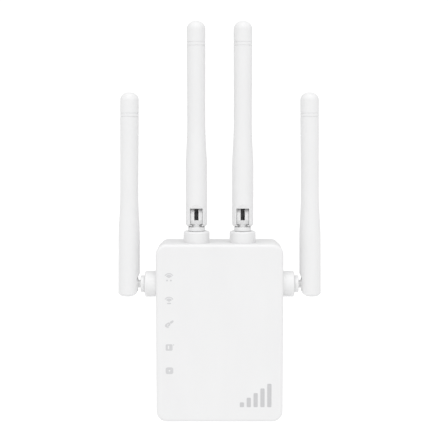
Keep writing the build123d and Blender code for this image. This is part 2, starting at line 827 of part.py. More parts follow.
def knuckle():
    """Stem, shoulder and slotted tongue in one piece, which turns in the collar."""
    barb_top = stem_end + barb_length
    profile = make_face(
        Polyline(
            (0, shoulder_top),
            (stem_radius, shoulder_top),
            (stem_radius, barb_top),
            (stem_radius + stem_clearance + barb_reach, barb_top),
            (stem_radius - barb_lead_in, stem_end),
            (0, stem_end),
            close=True,
        )
    )
    stem = revolve(Plane.XZ * profile, Axis.Z)
    slit_z = (stem_end - cut_over, stem_end + stem_slit_length)
    far = 2 * stem_radius
    for size in ((far, stem_slit), (stem_slit, far)):
        stem -= block((-size[0] / 2, size[0] / 2), (-size[1] / 2, size[1] / 2), slit_z)
    shoulder = Pos(0, 0, shoulder_bottom) * Cylinder(
        shoulder_radius, shoulder_thickness, align=(Align.CENTER, Align.CENTER, Align.MIN)
    )
    shoulder = fillet(shoulder.edges(), shoulder_rounding)
    half = tongue_width / 2
    side_view = make_face(
        Polyline(
            (-tongue_radius, pivot_height),
            (-tongue_radius, pivot_height - tongue_flat),
            (-waist_radius, pivot_height - tongue_foot),
            (waist_radius, pivot_height - tongue_foot),
            (tongue_radius, pivot_height - tongue_flat),
            (tongue_radius, pivot_height),
            close=True,
        )
    )
    tongue = extrude(Plane.YZ * side_view, amount=half, both=True)
    tongue += bar((-half, 0, pivot_height), (half, 0, pivot_height), tongue_radius)
    waist = bar((0, 0, shoulder_bottom), (0, 0, pivot_height - tongue_foot + weld), waist_radius)
    body = shoulder + stem + tongue + waist
    slot_z = (pivot_height - cable_slot_depth, pivot_height + 2 * tongue_radius)
    body -= block((-cable_slot_half, cable_slot_half), (-2 * tongue_radius, cable_bore), slot_z)
    body -= bar((0, 0, stem_end - cut_over), (0, 0, pivot_height), cable_bore)
    for side in (-1, 1):
        hole_end = (side * (half - trunnion_length - trunnion_end_gap), 0, pivot_height)
        body -= bar(hole_end, (side * far, 0, pivot_height), trunnion_radius + trunnion_clearance)
    return body


def coax_link(folded):
    """The cable inside the stem and the tongue, bent towards the rod where the rod is folded."""
    start = (0, 0, stem_end)
    reach = tongue_radius - cable_end_gap
    section = Plane(start, z_dir=(0, 0, 1)) * Circle(cable_radius)
    if folded:
        route = FilletPolyline(start, (0, 0, pivot_height), (0, -reach, pivot_height), radius=cable_bend)
        return sweep(section, path=route)
    return extrude(section, amount=pivot_height + reach - stem_end)


def rod_profile(low, high):
    """Half of the rod's outline, from its foot to its cap, as heights above the fold axis."""
    base = Line((rod_base_radius, low), (rod_base_radius, rod_base_top))
    narrowing = Spline(base @ 1, (rod_waist_radius, rod_waist_bottom), tangents=((0, 1), (0, 1)))
    waist = Line(narrowing @ 1, (rod_waist_radius, rod_waist_top))
    widening = Spline(waist @ 1, (rod_tip_radius, high), tangents=((0, 1), (0, 1)))
    closing = Polyline(widening @ 1, (0, high), (0, low), base @ 0)
    return make_face(base + narrowing + waist + widening + closing)


def antenna_sleeve():
    """The hollow rod with its forked foot, about its fold axis."""
    body = revolve(Plane.XZ * rod_profile(-rod_foot, cap_bottom), Axis.Z)
    body = chamfer(body.faces().sort_by(Axis.Z)[0].edges(), foot_chamfer)
    body = chamfer(body.faces().sort_by(Axis.Z)[-1].edges(), groove_half_width)
    body -= bar((0, 0, bore_floor), (0, 0, cap_bottom + cut_over), rod_bore_radius)
    body -= bar((0, 0, 0), (0, 0, bore_floor + cut_over), cable_bore)
    far = 2 * rod_base_radius
    body -= block((-fork_half, fork_half), (-far, roof), (-far, roof))
    # The foot is rounded about the fold axis on the folding side, so that it clears the shoulder.
    body -= block((-far, far), (-far, 0), (-far, 0)) - bar((-far, 0, 0), (far, 0, 0), rod_foot)
    relief = make_face(
        Polyline(
            (-rod_base_radius + relief_depth, roof - weld),
            (-rod_base_radius, roof + relief_height),
            (-far, roof + relief_height),
            (-far, roof - weld),
            close=True,
        )
    )
    body -= extrude(Plane.YZ * relief, amount=fork_half, both=True)
    for side in (-1, 1):
        trunnion_ends = [(side * x, 0, 0) for x in (fork_half + weld, tongue_width / 2 - trunnion_length)]
        body += bar(*trunnion_ends, trunnion_radius)
    return body


def antenna_cap():
    """The rounded end, with a plain band between two grooves and a spigot inside the rod."""
    band_top = cap_bottom + cap_band
    outline = make_face(
        Polyline(
            (0, cap_bottom),
            (rod_tip_radius - groove_half_width, cap_bottom),
            (rod_tip_radius, cap_bottom + groove_half_width),
            (rod_tip_radius, band_top - groove_half_width),
            (rod_tip_radius - groove_half_width, band_top),
            (rod_tip_radius, band_top + groove_half_width),
            (rod_tip_radius, rod_top),
            (0, rod_top),
            close=True,
        )
    )
    body = revolve(Plane.XZ * outline, Axis.Z)
    body = fillet(body.edges().sort_by(Axis.Z)[-1], min(tip_rounding, 0.9 * rod_tip_radius))
    spigot_ends = [(0, 0, cap_bottom - cap_spigot), (0, 0, cap_bottom + weld)]
    return body + bar(*spigot_ends, rod_bore_radius - cap_clearance)


def radiator():
    """The cable's end, its brass sleeve and the whip, soldered into one piece in the rod's bore."""
    sleeve_radius = rod_bore_radius - radiator_clearance
    bore_top = cap_bottom - cap_spigot
    sleeve_top = bore_floor + radiator_sleeve_share * (bore_top - bore_floor)
    tube = bar((0, 0, bore_floor), (0, 0, sleeve_top), sleeve_radius)
    inside_ends = [(0, 0, bore_floor - cut_over), (0, 0, sleeve_top - whip_radius)]
    tube -= bar(*inside_ends, sleeve_radius - radiator_wall)
    cable = bar((0, 0, roof), (0, 0, sleeve_top), cable_radius)
    whip = bar((0, 0, sleeve_top - weld), (0, 0, bore_top - radiator_end_gap), whip_radius)
    return tube + cable + whip


def placed(name, shape):
    return antenna_planes[name] * shape


def placed_rod(name, shape):
    """Puts a rod part, modelled about its fold axis, on its knuckle, folded or straight."""
    angle = rest_fold if name in folded_antennas else 0.0
    return antenna_planes[name] * Pos(0, 0, pivot_height) * Rot(angle, 0, 0) * shape


# ---- Leads inside the housing --------------------------------------------------------------------
def lead_route(name):
    """The lead's corners in X and Z, from the stem's end to its connector's tail."""
    side = -1 if name.endswith("left") else 1
    if name in folded_antennas:
        x = half_width + stem_end - cable_end_gap
        run, shift = side_lead_run
        last_x = x - run - shift
        points = [(x, side_z), (x - run, side_z), (last_x, side_z - run), (last_x, side_z - side_lead_drop)]
    else:
        x, z = top_antenna_spacing / 2, top_z + stem_end - cable_end_gap
        third, last_x = top_lead_drop / 3, x - top_lead_shift
        points = [(x, z), (x, z - third), (last_x, z - 2 * third), (last_x, z - top_lead_drop)]
    return [(side * x, z) for x, z in points]


def coax_lead(name):
    points = [(x, collar_y, z) for x, z in lead_route(name)]
    start, towards = Vector(*points[0]), Vector(*points[1])
    section = Plane(start, z_dir=(towards - start).normalized()) * Circle(lead_radius)
    return sweep(section, path=FilletPolyline(*points, radius=2 * lead_radius))


def coax_connector(name):
    """A round press-on connector with a square tail that takes its lead."""
    x, z = lead_route(name)[-1]
    tail_width, tail_length = connector_tail
    y = (board_back_y, board_back_y + connector_height)
    centre_z = z - tail_length
    tail = block((x - tail_width / 2, x + tail_width / 2), y, (centre_z, z))
    return tail + along_y(x, centre_z, *y, connector_radius)


# ---- The whole object ----------------------------------------------------------------------------
parts = {
    "front_cover": front_cover(),
    "rear_cover": rear_cover(),
    "rating_label": rating_label(),
    "plug_block": plug_block(),
    "plug_pins": plug_pins(),
    "pin_sleeves": pin_sleeves(),
    "pin_contacts": pin_contacts(),
    "power_board": power_board(),
    "transformer": transformer(),
    "power_capacitors": power_capacitors(),
    "power_small_parts": power_small_parts(),
    "insulation_sheet": insulation_sheet(),
    "board_header": board_header(),
    "main_board": main_board(),
    "lan_jack": lan_jack(),
    "jack_contacts": jack_contacts(),
    "processor_chips": processor_chips(),
    "heat_sink": heat_sink(),
    "shield_can": shield_can(),
    "indicator_leds": indicator_leds(),
    "light_guide": light_guide(),
    "button_switches": button_switches(),
    "wps_button": wps_button(),
    "wps_plunger": switch_plunger(button_z),
    "reset_plunger": switch_plunger(reset_z),
    "cover_screws": cover_screws(),
    "board_screws": board_screws(),
    "collar_nuts": group([placed(name, collar_nut()) for name in antenna_planes]),
    "coax_connectors": group([coax_connector(name) for name in antenna_planes]),
}
for name in antenna_planes:
    parts[f"antenna_collar_{name}"] = placed(name, antenna_collar())
    parts[f"knuckle_{name}"] = placed(name, knuckle())
    parts[f"coax_link_{name}"] = placed(name, coax_link(name in folded_antennas))
    parts[f"coax_lead_{name}"] = coax_lead(name)
    parts[f"antenna_sleeve_{name}"] = placed_rod(name, antenna_sleeve())
    parts[f"antenna_cap_{name}"] = placed_rod(name, antenna_cap())
    parts[f"radiator_{name}"] = placed_rod(name, radiator())

os.makedirs("parts", exist_ok=True)
for name, shape in parts.items():
    export_step(shape, f"parts/{name}.step")
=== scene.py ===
"""Finishes, printed marks and studio for a plug-in wireless range extender with four swivelling antennas.

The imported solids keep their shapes. Each gets its finish here, and the printed marks, the small soldered
parts and the wound wire are added to them.
"""

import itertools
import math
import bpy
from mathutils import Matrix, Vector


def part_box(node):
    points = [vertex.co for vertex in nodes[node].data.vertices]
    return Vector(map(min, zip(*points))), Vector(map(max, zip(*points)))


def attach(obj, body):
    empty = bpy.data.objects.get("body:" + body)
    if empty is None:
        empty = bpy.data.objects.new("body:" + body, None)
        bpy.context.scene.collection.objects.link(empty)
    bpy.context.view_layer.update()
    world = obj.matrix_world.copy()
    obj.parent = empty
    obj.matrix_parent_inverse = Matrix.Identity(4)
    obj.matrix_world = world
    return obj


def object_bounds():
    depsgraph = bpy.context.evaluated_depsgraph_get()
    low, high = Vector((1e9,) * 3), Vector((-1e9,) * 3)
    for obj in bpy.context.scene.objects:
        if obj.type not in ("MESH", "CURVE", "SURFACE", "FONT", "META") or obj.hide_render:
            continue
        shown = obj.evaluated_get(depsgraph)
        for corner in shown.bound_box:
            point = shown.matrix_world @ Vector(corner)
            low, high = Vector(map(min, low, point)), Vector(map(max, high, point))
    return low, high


bl_info = {
    "name": "Range extender finishes",
    "version": (1, 0, 0),
    "blender": (4, 5, 0),
    "location": "View3D > Sidebar > Extender",
    "description": "Finishes, printed marks and studio for a plug-in wireless range extender",
    "category": "Object",
}

import bpy
from bpy.props import FloatProperty, FloatVectorProperty, IntProperty, PointerProperty
from mathutils import Matrix, Vector

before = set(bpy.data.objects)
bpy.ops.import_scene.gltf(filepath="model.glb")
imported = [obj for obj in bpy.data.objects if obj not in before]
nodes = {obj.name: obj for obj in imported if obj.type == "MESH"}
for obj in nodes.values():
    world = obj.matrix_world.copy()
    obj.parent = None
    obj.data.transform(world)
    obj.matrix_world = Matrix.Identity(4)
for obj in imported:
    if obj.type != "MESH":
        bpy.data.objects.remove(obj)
cad_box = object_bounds()
mm = 0.001
antennas = ("top_left", "top_right", "side_left", "side_right")


# ---- Node trees ----------------------------------------------------------------------------------
def sign(operation, swapped=False):
    """A method of Signal that adds a Math node with that operation."""

    def apply(self, other=0.0):
        first, second = (other, self) if swapped else (self, other)
        return self.tree.add("ShaderNodeMath", {"operation": operation}, {0: first, 1: second})

    return apply


class Signal:
    """An output of a node. Python's arithmetic signs on a number's signal add Math nodes."""

    def __init__(self, tree, socket):
        self.tree, self.socket = tree, socket

    def other(self, name):
        """Another output of the same node."""
        return Signal(self.tree, self.socket.node.outputs[name])

    __add__, __radd__ = sign("ADD"), sign("ADD", swapped=True)
    __sub__, __rsub__ = sign("SUBTRACT"), sign("SUBTRACT", swapped=True)
    __mul__, __rmul__ = sign("MULTIPLY"), sign("MULTIPLY", swapped=True)
    __truediv__, __rtruediv__ = sign("DIVIDE"), sign("DIVIDE", swapped=True)
    __lt__, __gt__ = sign("LESS_THAN"), sign("GREATER_THAN")
    __abs__, floor, fraction, root = sign("ABSOLUTE"), sign("FLOOR"), sign("FRACT"), sign("SQRT")
    larger = sign("MAXIMUM")


class Tree:
    """A node tree being filled."""

    def __init__(self, tree):
        self.tree = tree

    def add(self, kind, settings=None, sockets=None, out=0):
        """Adds a node, sets it up, sets or links its sockets, and gives one output. A list is several links."""
        node = self.tree.nodes.new(kind)
        for name, value in (settings or {}).items():
            if name == "stops":
                ramp = node.color_ramp.elements
                for index, (position, colour) in enumerate(value):
                    stop = ramp[index] if index < len(ramp) else ramp.new(position)
                    stop.position, stop.color = position, (*colour, 1.0)
            else:
                setattr(node, name, value)
        for name, value in (sockets or {}).items():
            signals = value if isinstance(value, list) else [value]
            if isinstance(signals[0], Signal):
                for signal in signals:
                    self.tree.links.new(signal.socket, node.inputs[name])
            else:
                node.inputs[name].default_value = value
        return Signal(self, node.outputs[out]) if len(node.outputs) else None


class Finish(Tree):
    """A material being made."""

    def __init__(self, name):
        self.material = bpy.data.materials.new(name)
        self.material.use_nodes = True
        super().__init__(self.material.node_tree)
        self.tree.nodes.clear()

    def place(self, centre=(0, 0, 0), size=(1, 1, 1)):
        """The piece's own coordinates, counted from a centre, in units of a size along each axis."""
        at = self.add("ShaderNodeTexCoord", out="Object")
        placed = {"Vector": at, "Location": tuple(centre), "Scale": size}
        return self.add("ShaderNodeMapping", {"vector_type": "TEXTURE"}, placed)

    def axes(self, centre=(0, 0, 0)):
        x = self.add("ShaderNodeSeparateXYZ", None, {"Vector": self.place(centre)})
        return x, x.other("Y"), x.other("Z")

    def noise(self, grain, detail=2.0, roughness=0.5, size=(1, 1, 1)):
        """Cloudy values round 0.5 with that grain, in metres, drawn out along the axes by a size."""
        sockets = {"Vector": self.place(size=size), "Scale": 1 / grain}
        sockets |= {"Detail": detail, "Roughness": roughness}
        return self.add("ShaderNodeTexNoise", None, sockets)

    def cells(self, pitch, feature="F1", randomness=1.0, size=(1, 1, 1)):
        """The distance to scattered points of that pitch, in pitches."""
        sockets = {"Vector": self.place(size=size), "Scale": 1 / pitch, "Randomness": randomness}
        return self.add("ShaderNodeTexVoronoi", {"feature": feature}, sockets, "Distance")

    def chance(self, *numbers):
        """The same random number, from 0 to 1, wherever the given whole numbers are the same."""
        point = self.add("ShaderNodeCombineXYZ", None, dict(enumerate(numbers)))
        return self.add("ShaderNodeTexWhiteNoise", {"noise_dimensions": "3D"}, {"Vector": point})

    def above(self, value, edge, blur=0.05 * mm):
        """0 below the edge and 1 above it, blurred over a width."""
        settings = {"operation": "MULTIPLY_ADD", "use_clamp": True}
        return self.add("ShaderNodeMath", settings, {0: value, 1: 1 / blur, 2: 0.5 - edge / blur})

    def within(self, value, half, blur=0.05 * mm):
        """1 within a distance of zero, 0 beyond it."""
        return 1 - self.above(abs(value), half, blur)

    def across(self, x, y):
        return (x * x + y * y).root()

    def mix(self, factor, first, second):
        colours = {6: first, 7: second, 0: factor}
        colours = {key: (*c, 1.0) if isinstance(c, tuple) and len(c) == 3 else c for key, c in colours.items()}
        return self.add("ShaderNodeMix", {"data_type": "RGBA"}, colours, 2)

    def done(self, colour, roughness, height=None, **others):
        """The finished material, from a colour, a roughness, a height in metres and other sockets."""
        sockets = {"Base Color": colour, "Roughness": roughness}
        if height is not None:
            relief = {"Height": height, "Distance": 1.0, "Strength": 1.0}
            sockets["Normal"] = self.add("ShaderNodeBump", None, relief)
        for name, value in others.items():
            sockets[name.replace("_", " ").title().replace("Ior", "IOR")] = value
        shader = self.add("ShaderNodeBsdfPrincipled", None, sockets)
        self.add("ShaderNodeOutputMaterial", None, {"Surface": shader})
        return self.material


class Growth(Tree):
    """A geometry tree with a named input for each of its sizes."""

    def __init__(self, name, sizes, material):
        tree = bpy.data.node_groups.new(name, "GeometryNodeTree")
        tree.interface.new_socket("Start", in_out="INPUT", socket_type="NodeSocketGeometry")
        for size, value in sizes.items():
            kind = "NodeSocketInt" if isinstance(value, int) else "NodeSocketFloat"
            tree.interface.new_socket(size, in_out="INPUT", socket_type=kind)
        tree.interface.new_socket("Result", in_out="OUTPUT", socket_type="NodeSocketGeometry")
        super().__init__(tree)
        self.sizes, self.material = sizes, material
        self.start = self.add("NodeGroupInput")

    def size(self, name):
        return self.start.other(name)

    def point(self, x=0.0, y=0.0, z=0.0):
        return self.add("ShaderNodeCombineXYZ", None, {0: x, 1: y, 2: z})

    def moved(self, shape, place=(0.0, 0.0, 0.0), turn=(0.0, 0.0, 0.0)):
        sockets = {"Geometry": shape, "Translation": place, "Rotation": turn}
        return self.add("GeometryNodeTransform", None, sockets)

    def joined(self, *shapes):
        return self.add("GeometryNodeJoinGeometry", None, {0: list(shapes)})

    def copies(self, points, shape, **sockets):
        sockets |= {"Points": points, "Instance": shape}
        return self.add("GeometryNodeInstanceOnPoints", None, sockets)

    def stored(self, shape, name, value, kind="FLOAT", domain="INSTANCE"):
        sockets = {"Geometry": shape, "Name": name, "Value": value}
        return self.add("GeometryNodeStoreNamedAttribute", {"data_type": kind, "domain": domain}, sockets)

    def drawn_lots(self, sockets, kind="FLOAT", out=1):
        """A random value for each point, from a fixed seed."""
        return self.add("FunctionNodeRandomValue", {"data_type": kind}, sockets, out)

    def end(self, shape):
        shape = self.add("GeometryNodeRealizeInstances", None, {"Geometry": shape})
        shape = self.add("GeometryNodeSetMaterial", None, {"Geometry": shape, "Material": self.material})
        self.add("NodeGroupOutput", None, {0: shape})

    def grow(self, name, start=None):
        """The tree's result on a start mesh, as a plain mesh in place."""
        grower = bpy.data.objects.new(name + "_start", start or bpy.data.meshes.new(name + "_start"))
        modifier = grower.modifiers.new("Growth", "NODES")
        modifier.node_group = self.tree
        for item in self.tree.interface.items_tree:
            if item.name in self.sizes and item.in_out == "INPUT":
                modifier[item.identifier] = self.sizes[item.name]
        return piece(name, plain_mesh(grower))


# ---- Pieces --------------------------------------------------------------------------------------
def plain_mesh(maker):
    """The mesh that an object comes to. The object and its modifiers are removed."""
    bpy.context.scene.collection.objects.link(maker)
    mesh = bpy.data.meshes.new_from_object(maker.evaluated_get(bpy.context.evaluated_depsgraph_get()))
    name = maker.name
    bpy.data.objects.remove(maker)
    if not mesh.polygons:
        raise RuntimeError(f"{name} came out empty")
    return mesh


def piece(name, mesh):
    made = bpy.data.objects.new(name, mesh)
    bpy.context.scene.collection.objects.link(made)
    return made


def settle(made, body):
    """A new piece moves with a body."""
    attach(made, body)


def coat(material, *names):
    """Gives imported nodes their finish."""
    for name in names:
        mesh = nodes[name].data
        mesh.materials.clear()
        mesh.materials.append(material)


def points_mesh(name, points):
    mesh = bpy.data.meshes.new(name)
    mesh.from_pydata([tuple(p) for p in points], [], [])
    return mesh


def flat_print(name, outlines, thickness, place, material):
    """Inked outlines, with holes where one lies in another, as one thin closed sheet on the front face."""
    curve = bpy.data.curves.new(name, "CURVE")
    curve.dimensions, curve.fill_mode, curve.extrude = "2D", "BOTH", thickness / 2
    for outline in outlines:
        spline = curve.splines.new("POLY")
        spline.points.add(len(outline) - 1)
        for point, (x, y) in zip(spline.points, outline, strict=True):
            point.co = (x, y, 0.0, 1.0)
        spline.use_cyclic_u = True
    mesh = plain_mesh(bpy.data.objects.new(name + "_drawn", curve))
    upright = Matrix.Rotation(math.pi / 2, 4, "X")
    mesh.transform(Matrix.Translation(place - Vector((0, thickness / 2, 0))) @ upright)
    mesh.materials.clear()
    mesh.materials.append(material)
    return piece(name, mesh)


# ---- Sizes and colours a user may change ---------------------------------------------------------
def length(name, description, default):
    return FloatProperty(name=name, description=description, default=default, unit="LENGTH", precision=5)


def colour(name, description, default):
    return FloatVectorProperty(
        name=name, description=description, default=default, subtype="COLOR", size=3, min=0.0, max=1.0
    )


class PlasticSettings(bpy.types.PropertyGroup):
    """The white mouldings."""

    housing_colour: colour("Housing", "Colour of the two covers", (0.745, 0.745, 0.748))
    antenna_colour: colour("Antennas", "Colour of the rods, knuckles and collars", (0.745, 0.745, 0.748))
    plug_colour: colour("Plug", "Colour of the plug block", (0.74, 0.74, 0.73))
    grain: length("Grain", "Width of the spark-eroded grain", 0.35 * mm)
    grain_depth: length("Grain depth", "Depth of the spark-eroded grain", 0.006 * mm)
    mould_line: length("Mould line", "Width of the line where a rod's mould closes", 0.12 * mm)


class PrintSettings(bpy.types.PropertyGroup):
    """The printed marks on the front."""

    ink: colour("Ink", "Colour of the pictograms", (0.56, 0.56, 0.57))
    bar_ink: colour("Bar ink", "Colour of the signal bars", (0.5, 0.5, 0.51))
    thickness: length("Thickness", "How far the ink stands on the plastic", 0.03 * mm)
    bar_count: IntProperty(name="Bars", description="Number of signal bars", default=5, min=1)
    bar_width: length("Bar width", "Width of one signal bar", 2.0 * mm)
    bar_gap: length("Bar gap", "Gap between two signal bars", 1.25 * mm)
    bar_first: length("First bar", "Height of the lowest signal bar", 2.3 * mm)
    bar_step: length("Bar step", "How much higher each signal bar is than the last", 2.25 * mm)
    bar_corner: length("Bar corner", "Rounding of a signal bar's corners", 0.45 * mm)
    bars_from_right: length("Bars from right", "From the housing's right side to the last bar", 5.4 * mm)
    bars_from_bottom: length("Bars from bottom", "From the housing's bottom to the bars", 7.3 * mm)


class BoardSettings(bpy.types.PropertyGroup):
    """The boards and what is soldered to them."""

    mask_colour: colour("Solder mask", "Colour of the main board's lacquer", (0.012, 0.085, 0.04))
    laminate_colour: colour("Laminate", "Colour of the power board's bare side", (0.42, 0.27, 0.11))
    tape_colour: colour("Tape", "Colour of the transformer's tape", (0.78, 0.52, 0.05))
    chip_length: length("Chip length", "Length of a small soldered part", 1.6 * mm)
    chip_pitch: length("Chip pitch", "Space given to each small soldered part", 2.6 * mm)
    joint_radius: length("Solder joint", "Radius of a solder joint at its foot", 0.9 * mm)
    wire_radius: length("Wire", "Radius of the choke's wire", 0.3 * mm)


class StudioSettings(bpy.types.PropertyGroup):
    """The camera, lights and floor."""

    lens: FloatProperty(name="Lens", description="Focal length", default=86.46, unit="CAMERA")
    distance: length("Distance", "From the front face to the camera", 500 * mm)
    camera_height: length("Camera height", "Height of the camera above the plug's axis", 95 * mm)
    camera_side: length("Camera side", "How far right of the middle the camera is", 2.1 * mm)
    tilt: FloatProperty(name="Tilt", description="How far down it looks", default=0.0964, unit="ROTATION")
    floor_below: length("Floor below", "From the object's lowest point to the floor", 300 * mm)
    surround: FloatProperty(name="Surround", description="Brightness of the surround", default=0.76, min=0.0)
    key_light: FloatProperty(name="Key light", description="Strength of the top light", default=1.5, min=0.0)


# ---- Finishes ------------------------------------------------------------------------------------
def shade(base, times, plus=0.0):
    """A lighter or darker form of a colour."""
    return tuple(min(1.0, part * times + plus) for part in base)


def moulded(name, base, gloss, grain, depth, mould_line=0.0, line_y=0.0, **constants):
    """A moulded plastic: spark-eroded grain, slow changes of tone and gloss, and a mould's parting line."""
    f = Finish(name)
    fine = f.noise(grain, 2.0, 0.6)
    pits = f.cells(grain * 1.7)
    flow = f.noise(9 * mm, 3.0, size=(1, 1, 2.6))
    height = (fine + pits * 0.5) * depth
    if mould_line:
        _, y, _ = f.axes()
        ridge = f.within(y - line_y, mould_line / 2, mould_line / 3)
        height = height + ridge * (0.012 * mm)
    tone = f.mix(flow, shade(base, 0.975), shade(base, 1.015))
    tone = f.mix(fine * 0.05, tone, shade(base, 0.9))
    return f.done(tone, gloss + flow * 0.1 + fine * 0.06, height, **constants)


def ink_finish(name, base):
    """Screen-printed ink, thin enough for the grain and the mesh to show."""
    f = Finish(name)
    weave = f.cells(0.16 * mm, randomness=0.25)
    patch = f.noise(1.1 * mm, 3.0)
    tone = f.mix(patch, shade(base, 0.93), shade(base, 1.06))
    tone = f.mix(weave * 0.12, tone, (0.75, 0.75, 0.75))
    return f.done(tone, 0.5 + patch * 0.15, weave * (0.004 * mm))


def label_finish(name, low, high):
    """A white film label with a plain ruled frame and blank fields."""
    f = Finish(name)
    x, y, z = f.axes((low + high) / 2)
    half_x, half_z = (high.x - low.x) / 2, (high.z - low.z) / 2
    rule, margin, band, split = 0.11 * mm, 1.1 * mm, 2.1 * mm, 6 * mm
    inside = f.within(x, half_x - margin) * f.within(z, half_z - margin)
    inner = f.within(x, half_x - margin - 2 * rule) * f.within(z, half_z - margin - 2 * rule)
    lines = f.within(z - band, rule / 2) + f.within(z + band, rule / 2)
    lines = lines + f.within(x - split, rule / 2) * f.within(z, band)
    ruled = (inside - inner + lines * inner).larger(0.0)
    field = f.within(z, band - 0.1 * mm) * f.above(x, split + 0.1 * mm) * inner
    paper = f.noise(0.5 * mm, 4.0)
    tone = f.mix(paper, (0.66, 0.67, 0.68), (0.72, 0.72, 0.72))
    tone = f.mix(field * 0.6, tone, (0.45, 0.47, 0.5))
    tone = f.mix(ruled, tone, (0.12, 0.12, 0.13))
    return f.done(tone, 0.32 + paper * 0.14, paper * (0.006 * mm) + ruled * (0.004 * mm))


def drawn_metal(
    name, base, gloss, along=(1, 1, 1), tarnish=(0.4, 0.35, 0.28), lines=0.12 * mm, coat_weight=0.0
):
    """A metal with fine lines along one way and a little tarnish."""
    f = Finish(name)
    draw = f.noise(lines, 3.0, 0.7, size=along)
    bloom = f.noise(2.3 * mm, 4.0, 0.6)
    scuff = f.cells(0.9 * mm, size=(1.0, 0.6, 1.4))
    tone = f.mix(bloom * 0.45, base, tarnish)
    tone = f.mix(draw * 0.18, tone, shade(base, 0.6))
    rough = gloss + draw * 0.12 + bloom * 0.1 + scuff * 0.04
    return f.done(tone, rough, draw * (0.004 * mm), metallic=1.0, coat_weight=coat_weight)


def turned_metal(name, base, gloss, spacing):
    """Plated screws: rings left by turning, round each of the four screws' places."""
    f = Finish(name)
    x, _, z = f.axes()
    radius = f.across(abs(x) - spacing.x, abs(z - spacing.y) - spacing.z)
    rings = abs((radius / (0.16 * mm)).fraction() - 0.5) * 2
    spots = f.noise(0.8 * mm, 4.0)
    tone = f.mix(spots * 0.5, base, (0.34, 0.32, 0.27))
    height = rings * (0.003 * mm) + spots * (0.004 * mm)
    return f.done(tone, gloss + spots * 0.18, height, metallic=1.0)


def main_board_finish(name, mask):
    """Green lacquer over bundles of tracks and filled copper areas, with plated holes whose insides are painted
    near-black as painted shade.
    """
    f = Finish(name)
    x, _, z = f.axes()
    cell, pitch, hole_pitch, hole_radius, land_radius = 3.1 * mm, 0.62 * mm, 2.4 * mm, 0.17 * mm, 0.34 * mm
    column, row = (x / cell).floor(), (z / cell).floor()
    way = f.chance(column, row, 3.0)
    level = f.within((z / pitch).fraction() - 0.5, 0.24, 0.1)
    upright = f.within((x / pitch).fraction() - 0.5, 0.24, 0.1)
    tracks = level * (way < 0.38) + upright * (way > 0.38) * (way < 0.8)
    pour = way > 0.88
    spot = f.cells(hole_pitch, randomness=0.8) * hole_pitch
    past_hole = f.above(spot, hole_radius)
    ring = (1 - f.above(spot, land_radius, 0.06 * mm)) * past_hole
    shaded_hole = 1 - past_hole
    glass = f.noise(0.5 * mm, 3.0, size=(1, 1, 0.35))
    copper = (tracks + pour).larger(0.0) * (1 - ring) * (1 - shaded_hole)
    green = f.mix(glass, shade(mask, 0.8), shade(mask, 1.2))
    tone = f.mix(copper * 0.75, green, shade(mask, 2.1, 0.01))
    tone = f.mix(ring, tone, (0.62, 0.58, 0.47))
    # painted shade: each hole is painted near-black for the shade inside it
    tone = f.mix(shaded_hole, tone, (0.02, 0.02, 0.015))
    height = copper * (0.035 * mm) + ring * (0.03 * mm) - shaded_hole * (0.1 * mm) + glass * (0.004 * mm)
    return f.done(tone, 0.28 + glass * 0.14, height, metallic=ring * 0.9, coat_weight=0.25)


def power_board_finish(name, laminate, low, high):
    """Bare pressed-paper laminate in front, and lacquered copper areas behind."""
    f = Finish(name)
    island = 8.5 * mm
    _, y, _ = f.axes()
    back = f.above(y, (low.y + high.y) / 2 + 0.6 * mm)
    fibre = f.noise(0.45 * mm, 5.0, 0.65, size=(0.35, 1, 1.6))
    cloud = f.noise(6 * mm, 3.0)
    bare = f.mix(fibre, shade(laminate, 0.62), shade(laminate, 1.25))
    bare = f.mix(cloud * 0.35, bare, shade(laminate, 0.7))
    edges = f.cells(island, "DISTANCE_TO_EDGE")
    copper = f.above(edges, 0.055, 0.012)
    lacquer = f.mix(copper, (0.02, 0.07, 0.025), (0.05, 0.17, 0.06))
    lacquer = f.mix(fibre * 0.25, lacquer, (0.02, 0.05, 0.02))
    tone = f.mix(back, bare, lacquer)
    height = fibre * (0.01 * mm) + back * copper * (0.04 * mm)
    return f.done(tone, 0.55 - back * 0.2 + fibre * 0.15, height)


def transformer_finish(name, tape, low, high):
    """A dark ferrite core, a winding wrapped in tape, and a black bobbin under it."""
    f = Finish(name)
    x, y, z = f.axes((low + high) / 2)
    winding_half, winding_depth, flange_from, blur = 4.2 * mm, 3.05 * mm, 7.5 * mm, 0.02 * mm
    across = f.within(x, winding_half, blur)
    wound, foot = across * f.within(y, winding_depth, blur), across * f.above(y, winding_depth, blur)
    flange = wound * f.above(abs(z), flange_from)
    grit = f.noise(0.22 * mm, 4.0, 0.7)
    ferrite = f.mix(grit, (0.018, 0.018, 0.02), (0.075, 0.073, 0.07))
    laps = (z / (3.2 * mm) + y / (30 * mm)).fraction()
    lap_edge = f.above(laps, 0.93, 0.04)
    crease = f.noise(1.4 * mm, 3.0, size=(2.5, 2.5, 0.8))
    taped = f.mix(crease, shade(tape, 0.8), shade(tape, 1.1))
    taped = f.mix(lap_edge * 0.55, taped, shade(tape, 0.45))
    tone = f.mix(wound, ferrite, taped)
    tone = f.mix((foot + flange).larger(0.0), tone, (0.02, 0.02, 0.02))
    height = grit * (1 - wound) * (0.02 * mm) + wound * (crease * (0.03 * mm) - lap_edge * (0.03 * mm))
    return f.done(tone, 0.62 - wound * 0.3 + grit * 0.1, height)


